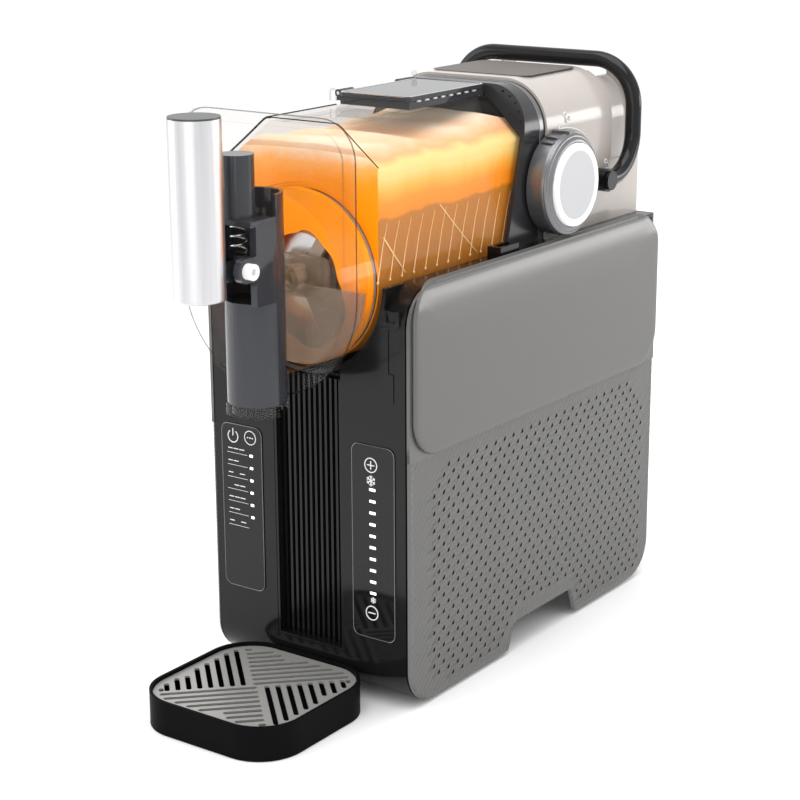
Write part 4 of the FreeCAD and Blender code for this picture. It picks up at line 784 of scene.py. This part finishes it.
def slush():
    rings_o = []
    ys = [-36.6, -36.0, -34] + [-30 + 5.1 * k for k in range(41)] + [175.2, 176.4]
    ys = [y for y in ys if y <= 176.4]
    for i, y in enumerate(ys):
        t = 373.0 + 3.0 * math.sin(y * 0.045 + 1.0) + 1.6 * math.sin(y * 0.13) + (3.0 if y > 40 else 0)
        if y < 0:
            t = min(t, 350.4 - 2)
        inset = 1.2 if (i == 0 or i == len(ys) - 1) else (0.5 if y > 2 else 0.5)
        sec = section(inset, t)
        rings_o.append([(x + 0.25 * noise.noise(Vector((x, y, z)) * 0.07), y, z + (0.8 * noise.noise(Vector((x, y, z)) * 0.06) if z > t - 6 else 0)) for x, z in sec])
    return ys, rings_o


def slush_front():
    """Thin body of slush between the auger's front rim and its vane, cleared round the hub."""
    n, m = 96, 16

    def edge(a):
        # a: degrees, 0 at the top and turning to the right; wiped wider low down
        lo = 0.5 + 0.5 * math.cos(math.radians(a - 165))
        return 29.0 + 19.0 * lo ** 2.2 + 2.2 * math.sin(math.radians(3 * a + 20)) + 1.2 * math.sin(math.radians(7 * a))

    def ring(t, y0, push):
        out = []
        for i in range(n):
            a = 360.0 * i / n
            r0 = max(28.5, edge(a))
            r = r0 + (58.9 - r0) * t
            x, z = r * math.sin(math.radians(a)), AX + r * math.cos(math.radians(a))
            y = y0 + push * (1 - t) ** 3 - push * 0.25 * noise.noise(Vector((x, 3, z)) * 0.09)
            out.append((x, min(-2.5, max(-8.4, y)), z))
        return out
    rings = [ring(k / m, -8.2, 3.0) for k in range(m + 1)] + [ring(k / m, -2.5, -0.8) for k in range(m, -1, -1)]
    rings.append(rings[0])
    return loops(rings)


def slush_barrel():
    """Slush filling the arch over the auger and the thin jacket round it; the jacket runs closed all round."""
    ys = [2.9, 3.6] + [8 + 5.25 * k for k in range(33)]
    ys = [y for y in ys if y < 176.2] + [176.3]
    n_in = None
    ro, ri = [], []
    for i, y in enumerate(ys):
        t = 374.0 + 3.0 * math.sin(y * 0.045 + 1.0) + 1.4 * math.sin(y * 0.13) + (4.0 if y > 50 else 4.0 * y / 50)
        sec = section(0.5, t)
        ro.append([(x, y, z + (1.0 * noise.noise(Vector((x, y, z)) * 0.05) if z > t - 8 else 0)) for x, z in sec])
        ri.append([(57.8 * math.cos(math.atan2(z - AX, x)), y, AX + 57.8 * math.sin(math.atan2(z - AX, x))) for x, z in sec])
    n = len(ro[0])
    v, f = [], []
    for r in ro + ri:
        v += r
    m = len(ro)
    for i in range(m - 1):
        for j in range(n):
            k = (j + 1) % n
            f.append((i * n + j, i * n + k, (i + 1) * n + k, (i + 1) * n + j))
            b = m * n
            f.append((b + i * n + k, b + i * n + j, b + (i + 1) * n + j, b + (i + 1) * n + k))
    for j in range(n):
        k = (j + 1) % n
        b = m * n
        f.append((j, b + j, b + k, k))
        e = (m - 1) * n
        f.append((e + j, e + k, b + e + k, b + e + j))
    return v, f


obj("slush_front", *slush_front(), SLUSH, "vessel", angle=80)
obj("slush_barrel", *slush_barrel(), SLUSH_B, "vessel", angle=80)
# front face of the filling, seen through the vessel's front wall above the round chamber
def slush_face():
    sec = section(0.6, 373.5, 96)
    fv_, ff_ = [], []
    rr = []
    for t in (0.0, 0.34, 0.67, 1.0):
        ring = []
        for x, z in sec:
            a = math.atan2(z - AX, x)
            r0 = min(58.0, math.hypot(x, z - AX) - 0.05)
            x0, z0 = r0 * math.cos(a), AX + r0 * math.sin(a)
            ring.append((x0 + (x - x0) * t, 2.86, z0 + (z - z0) * t))
        rr.append(ring)
    rr += [[(x, 2.6, z) for x, y, z in r] for r in reversed(rr)]
    rr.append(rr[0])
    return loops(rr)


obj("slush_face", *slush_face(), SLUSH, "vessel", angle=80)
# brownish melt left on the wiped part of the chamber
film = lathe([(28.6, -2.3), (58.6, -2.3), (58.6, -1.85), (28.6, -1.85), (28.6, -2.3)], (0, 0, AX), "Y", 96)
obj("slush_melt", *film, thin_clear("slush_melt_film", (0.80, 0.52, 0.30), (0.5, 0.25, 0.1), 0.3), "vessel")
# light amber slanted lines low on the barrel, each ending in a bead
lines = []
for k in range(12):
    y = 1.5 + 13.4 * k
    for s in (1, -1):
        pts = [(s * 59.3, y + 9.5 * q / 8.0 + (1.5 if q > 5 else 0) * (q - 5) / 3.0, 294 + 37.0 * q / 8.0) for q in range(9)]
        lines.append(tube(pts, [0.42 - 0.03 * q for q in range(9)], 6))
        lines.append(tube([(s * 59.3, y - 0.7 + 0.3 * q, 292.4 + 0.5 * q) for q in range(5)], [0.2, 0.75, 0.95, 0.75, 0.3], 8))
for s in (1, -1):
    lines.append(tube([(s * 59.3, 72, 334), (s * 59.3, 95, 313), (s * 59.3, 118, 293)], 0.42, 6))
    lines.append(tube([(s * 59.3, 8, 322), (s * 59.3, 22, 306), (s * 59.3, 32, 295)], 0.5, 6))
obj("slush_slanted_lines", *join(*lines), AMBER_LINE, "vessel")

# ------------------------------------------------------------------ knob, housing marks, collar, lid details
KY, KZ = 203.0, 331.0
kf = lathe([(0.01, 87.6), (21, 87.6), (24.0, 87.62), (24.6, 87.75)], (0, KY, KZ), "X", 96)
obj("knob_disc", *kf, M["knob_face"], "knob", slotn="knob_face")
kr = lathe([(24.5, 87.4), (24.6, 88.1), (25.2, 88.35), (28.6, 88.35), (29.4, 88.1), (29.7, 87.2), (29.7, 84.0), (24.5, 84.0)], (0, KY, KZ), "X", 96)
obj("knob_ring", *kr, WHITE_RING, "knob", slotn="knob_face")
kc = lathe([(29.8, 84.2), (29.9, 85.6), (30.6, 86.0), (32.2, 85.7), (33.6, 84.9), (34.4, 83.9), (36.0, 82.6), (36.75, 81.0), (36.8, 79.5), (36.4, 79.3), (30.0, 79.3)], (0, KY, KZ), "X", 96)
obj("knob_bezel", *kc, M["knob_grey"], "knob", slotn="knob_grey")
kg = lathe([(34.3, 84.0), (34.75, 84.15), (35.1, 83.7), (34.7, 83.3), (34.3, 84.0)], (0, KY, KZ), "X", 96)
obj("knob_bright_line", *kg, CHROME, "knob", slotn="knob_grey")
# finger notch ridge on the rim
rg = []
for a in (112, 122):
    c, s_ = math.cos(math.radians(a)), math.sin(math.radians(a))
    rg.append(tube([(70, KY + 37.0 * c, KZ + 37.0 * s_), (76, KY + 37.4 * c, KZ + 37.4 * s_), (80.5, KY + 36.9 * c, KZ + 36.9 * s_)], [0.8, 1.2, 0.5], 10))
obj("knob_finger_ribs", *join(*rg), M["knob_grey"], "knob", slotn="knob_grey")


def side_x(z):
    return 67.6 if z <= 369 else 32.6 + math.sqrt(max(0.0, 35.0 ** 2 - (z - 369.0) ** 2))


def mark(pts, r=0.42, closed=False):
    return tube([(side_x(z) + 0.25, y, z) for y, z in pts], r, 8, closed)


mk = []
for (cy, cz, opened) in ((222.3, 374.6, True), (278.3, 333.2, False)):
    mk.append(mark([(cy - 2.6, cz - 2.4), (cy + 2.6, cz - 2.4), (cy + 2.6, cz + 1.6), (cy - 2.6, cz + 1.6)], 0.55, True))
    dy = -2.6 if opened else 0.0
    sh = [(cy + dy + 1.9 * math.cos(math.radians(a)), cz + 2.6 + 1.9 * math.sin(math.radians(a))) for a in range(0, 181, 20)]
    if opened:
        sh = [(cy + dy + 1.9, cz + 1.6)] + sh + [(cy + dy - 1.9, cz + 1.9)]
    else:
        sh = [(cy + 1.9, cz + 1.6)] + sh + [(cy - 1.9, cz + 1.6)]
    mk.append(mark(sh, 0.45))
    mk.append(mark([(cy - 0.2, cz - 0.6), (cy + 0.2, cz - 0.6)], 0.6))
arc_pts = []
for q in range(15):
    t = q / 14.0
    arc_pts.append(((1 - t) ** 2 * 208.7 + 2 * t * (1 - t) * 230.0 + t * t * 246.5, (1 - t) ** 2 * 368.2 + 2 * t * (1 - t) * 369.3 + t * t * 359.6))
mk.append(mark(arc_pts, 0.5))
mk.append(mark([(211.6, 371.4), (208.4, 368.2), (210.8, 364.6)], 0.5))
obj("housing_lock_marks", *join(*mk), MARK, "root")

# collar: lighter band near its rear edge, and rows of small louvre ribs on the shoulders
band = []
prof_c = rrect(-66.0, 66.0, 291.2, 402.0, (2, 33, 33, 2), 14)
outer_c = [(x, z) for x, z in prof_c]
ringsb = []
for yb, off in ((186.5, -0.3), (186.7, 0.25), (191.3, 0.25), (191.5, -0.3)):
    rg_ = []
    for x, z in outer_c:
        k = 1 + off / 66.0
        rg_.append((x * k, yb, 346.6 + (z - 346.6) * (1 + off / 55.4)))
    ringsb.append(rg_)
obj("collar_band", *loops(ringsb), M["knob_grey"], "root", slotn="collar_dark")
lv = []
for s in (1, -1):
    for k in range(5):
        a = math.radians(18 + 13 * k)
        cx, cz = s * (33 + 30.2 * math.cos(a)), 369 + 30.2 * math.sin(a)
        tz = cz
        yf = 147.5 + (cz - 300) * 0.27
        lv.append(tube([(cx, yf - 0.4, cz), (cx + s * 0.2, yf + 2.0, cz + 0.5), (cx - s * 4.2 * math.cos(a + 1.1), yf - 0.2, cz - 4.2 * math.sin(a + 1.1))], [0.9, 1.0, 0.5], 8))
obj("collar_louvres", *join(*lv), M["deck_black"], "root", slotn="collar_dark")

# lid: thin raised border, and grip notches along its right-hand lip that are coloured light grey as painted highlights
lb = [tube([(x, y, 402.05) for x, y in rrect(-28.6, 28.6, 79.2, 170.8, 2.6, 6)], 0.35, 8, True)]
obj("lid_border", *join(*lb), M["smoked_dark"], "lid", slotn=SLOT_OF["lid"])
# painted highlight: the notches take a light grey finish instead of the lid's smoked plastic, to show the light they
# catch
notch_highlight_blocks = [block(29.2, 30.4, 88 + 9.6 * k, 92.0 + 9.6 * k, 398.0, 399.1, 0.25) for k in range(8)]
obj("lid_grip_notches_painted_highlight", *join(*notch_highlight_blocks), M["knob_face"], "lid", slotn=SLOT_OF["lid"])
ball = lathe([(0.01, -2.4), (1.2, -2.08), (2.08, -1.2), (2.4, 0), (2.08, 1.2), (1.2, 2.08), (0.01, 2.4)], (-29.7, 169, 405.6), "Z", 32)
stem = tube([(-29.7, 169, 401.0), (-29.7, 169, 403.6)], 1.1, 12)
obj("lid_hinge_bead", *join(ball, stem), thin_clear("bead_clear", (0.9, 0.9, 0.9), (0.2, 0.2, 0.2), 1.6), "lid", slotn=SLOT_OF["lid"])
loop_ = tube([(-34.8, 76.3, 396)] + [(-32.2 + 2.6 * math.cos(math.radians(a)), 76.3, 401.5 + 2.6 * math.sin(math.radians(a))) for a in range(180, -1, -20)] + [(-29.6, 76.3, 396)], 0.8, 10)
obj("hinge_loop", *loop_, thin_clear("loop_clear", (0.85, 0.85, 0.86), (0.25, 0.25, 0.25), 1.6), "vessel")

# vessel: thin tubes of darkened clear material along the flange and the arch, painted shade that draws the dark outline
# its clear walls show where seen edge-on
RIM_EDGE_SHADE = thin_clear("rim_edge_shade", (0.62, 0.60, 0.58), (0.06, 0.06, 0.06), 1.2)
flr = []
fpts = [(72.1 * math.cos(math.radians(a)), AX + 72.1 * math.sin(math.radians(a))) for a in range(180, 361, 5)]
fpts += [(72.1, 330), (72.1, 360)] + [(46.5 + 25.6 * math.cos(math.radians(a)), 377.5 + 25.6 * math.sin(math.radians(a))) for a in range(0, 91, 9)]
fpts += [(20, 403.1), (-20, 403.1)] + [(-46.5 + 25.6 * math.cos(math.radians(a)), 377.5 + 25.6 * math.sin(math.radians(a))) for a in range(90, 181, 9)] + [(-72.1, 360), (-72.1, 330)]
flr.append(tube([(x, -38.2, z) for x, z in fpts], 0.42, 8, True))
obj("flange_edge_shade_line", *join(*flr), RIM_EDGE_SHADE, "vessel", slotn="vessel_clear")
# painted shade: darker clear tubes along the arch's sides and top edge stand in for the dark edge lines of the clear
# wall
sil = []
arch = [(62.1 * math.cos(math.radians(a)), AX + 62.1 * math.sin(math.radians(a))) for a in range(150, 181, 5)]
arch = [(-x, z) for x, z in [(62.1, 300), (62.1, 330), (62.1, 366.8)]]
up = [(-62.1, 296), (-62.1, 340), (-62.1, 365.5), (-61.2, 368.2), (-46, 380.4), (-32, 392), (-29.4, 393.5), (-26, 393.8)]
sil.append(tube([(x, 0.6, z) for x, z in up], 0.75, 8))
sil.append(tube([(x, 0.6, z) for x, z in [(-26, 393.8), (0, 393.8), (26, 393.8), (29.4, 393.5), (32, 392), (46, 380.4), (61.2, 368.2)]], 0.4, 8))
sil.append(tube([(-30.0, 0.6 + 4 * q, 393.6) for q in range(20)], 0.45, 8))
obj("arch_edge_shade_line", *join(*sil), thin_clear("arch_edge_shade", (0.22, 0.22, 0.23), (0.03, 0.03, 0.03), 0.8), "vessel", slotn="vessel_clear")
# return spring as a coil with a mesh of its own, in place of the CAD part
turns, hz0, hh = 58.4 / 6.2, 318.6, 58.4
coil = [(5.2 * math.cos(2 * math.pi * turns * q / 226.0), -65.5 + 5.2 * math.sin(2 * math.pi * turns * q / 226.0), hz0 + hh * q / 226.0) for q in range(227)]
spr = obj("coil_spring", *tube(coil, 0.8, 10), M[SLOT_OF["return_spring"]], "vessel", rep=("return_spring",), slotn=SLOT_OF["return_spring"])
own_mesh(spr)

# ------------------------------------------------------------------ stage, light, camera
fl_me = bpy.data.meshes.new("floor")
fz = -0.0005
W = 3.2
fv, ff = loops([[(x, y, fz) for x in (-9, -3, 0, 3, 9)] for y in (-6, -2, 0, 2, 6, 16)], closed=False)
fl_me.from_pydata(fv, [], ff)
floor = bpy.data.objects.new("floor", fl_me)
bpy.context.scene.collection.objects.link(floor)
for p in fl_me.polygons:
    p.use_smooth = True
FLOOR = solid("floor_pale", (0.97, 0.97, 0.97), 0.7, 0.0, 0.004, 3, 0.0)
floor.data.materials.append(FLOOR)
floor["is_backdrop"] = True

lo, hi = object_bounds()
# the floor lies just under the feet and the tray
floor.location.z = min(lo.z, 0.0)


def area(name, loc, target, size, power, color=(1, 1, 1), sy=None, spread=None):
    ld = bpy.data.lights.new(name, "AREA")
    ld.shape = "RECTANGLE"
    ld.size = size
    ld.size_y = sy or size
    ld.energy = power
    ld.color = color
    if spread:
        ld.spread = math.radians(spread)
    lo_ = bpy.data.objects.new(name, ld)
    lo_.location = loc
    d = Vector(target) - Vector(loc)
    lo_.rotation_mode = "QUATERNION"
    lo_.rotation_quaternion = d.to_track_quat("-Z", "Y")
    bpy.context.scene.collection.objects.link(lo_)
    return lo_


area("top_soft", (0.1, -0.1, 1.6), (0, 0.05, 0.2), 1.3, 15)
area("left_soft", (-1.3, -0.7, 0.7), (0, -0.05, 0.25), 0.9, 7, sy=1.3)
area("right_soft", (1.5, 0.2, 0.9), (0, 0.05, 0.2), 1.0, 1.4, sy=1.2)
area("front_soft", (0.5, -1.7, 0.5), (0, -0.05, 0.2), 0.9, 3)
area("rear_strip", (1.45, 1.95, 0.42), (0, 0.05, 0.27), 1.6, 12, sy=0.5)
world = bpy.data.worlds.new("studio")
bpy.context.scene.world = world
world.use_nodes = True
bg = world.node_tree.nodes["Background"]
bg.inputs["Color"].default_value = (1, 1, 1, 1)
bg.inputs["Strength"].default_value = 1.05

cam_d = bpy.data.cameras.new("camera")
cam_d.lens = 89.25
cam_d.sensor_width = 36
cam_d.sensor_fit = "HORIZONTAL"
cam_d.dof.use_dof = False
cam_d.clip_start, cam_d.clip_end = 0.01, 50
cam = bpy.data.objects.new("camera", cam_d)
yaw, pitch, roll = math.radians(35.636), math.radians(16.041), math.radians(-0.2838)
f = Vector((-math.sin(yaw) * math.cos(pitch), math.cos(yaw) * math.cos(pitch), -math.sin(pitch)))
r = f.cross(Vector((0, 0, 1))).normalized()
u = r.cross(f)
r2 = math.cos(roll) * r + math.sin(roll) * u
u2 = -math.sin(roll) * r + math.cos(roll) * u
cam.matrix_world = Matrix(((r2.x, u2.x, -f.x, 0.79860), (r2.y, u2.y, -f.y, -1.11290), (r2.z, u2.z, -f.z, 0.57616), (0, 0, 0, 1)))
bpy.context.scene.collection.objects.link(cam)
bpy.context.scene.camera = cam
vs = bpy.context.scene.view_settings
vs.view_transform = "Standard"
vs.look = "None"
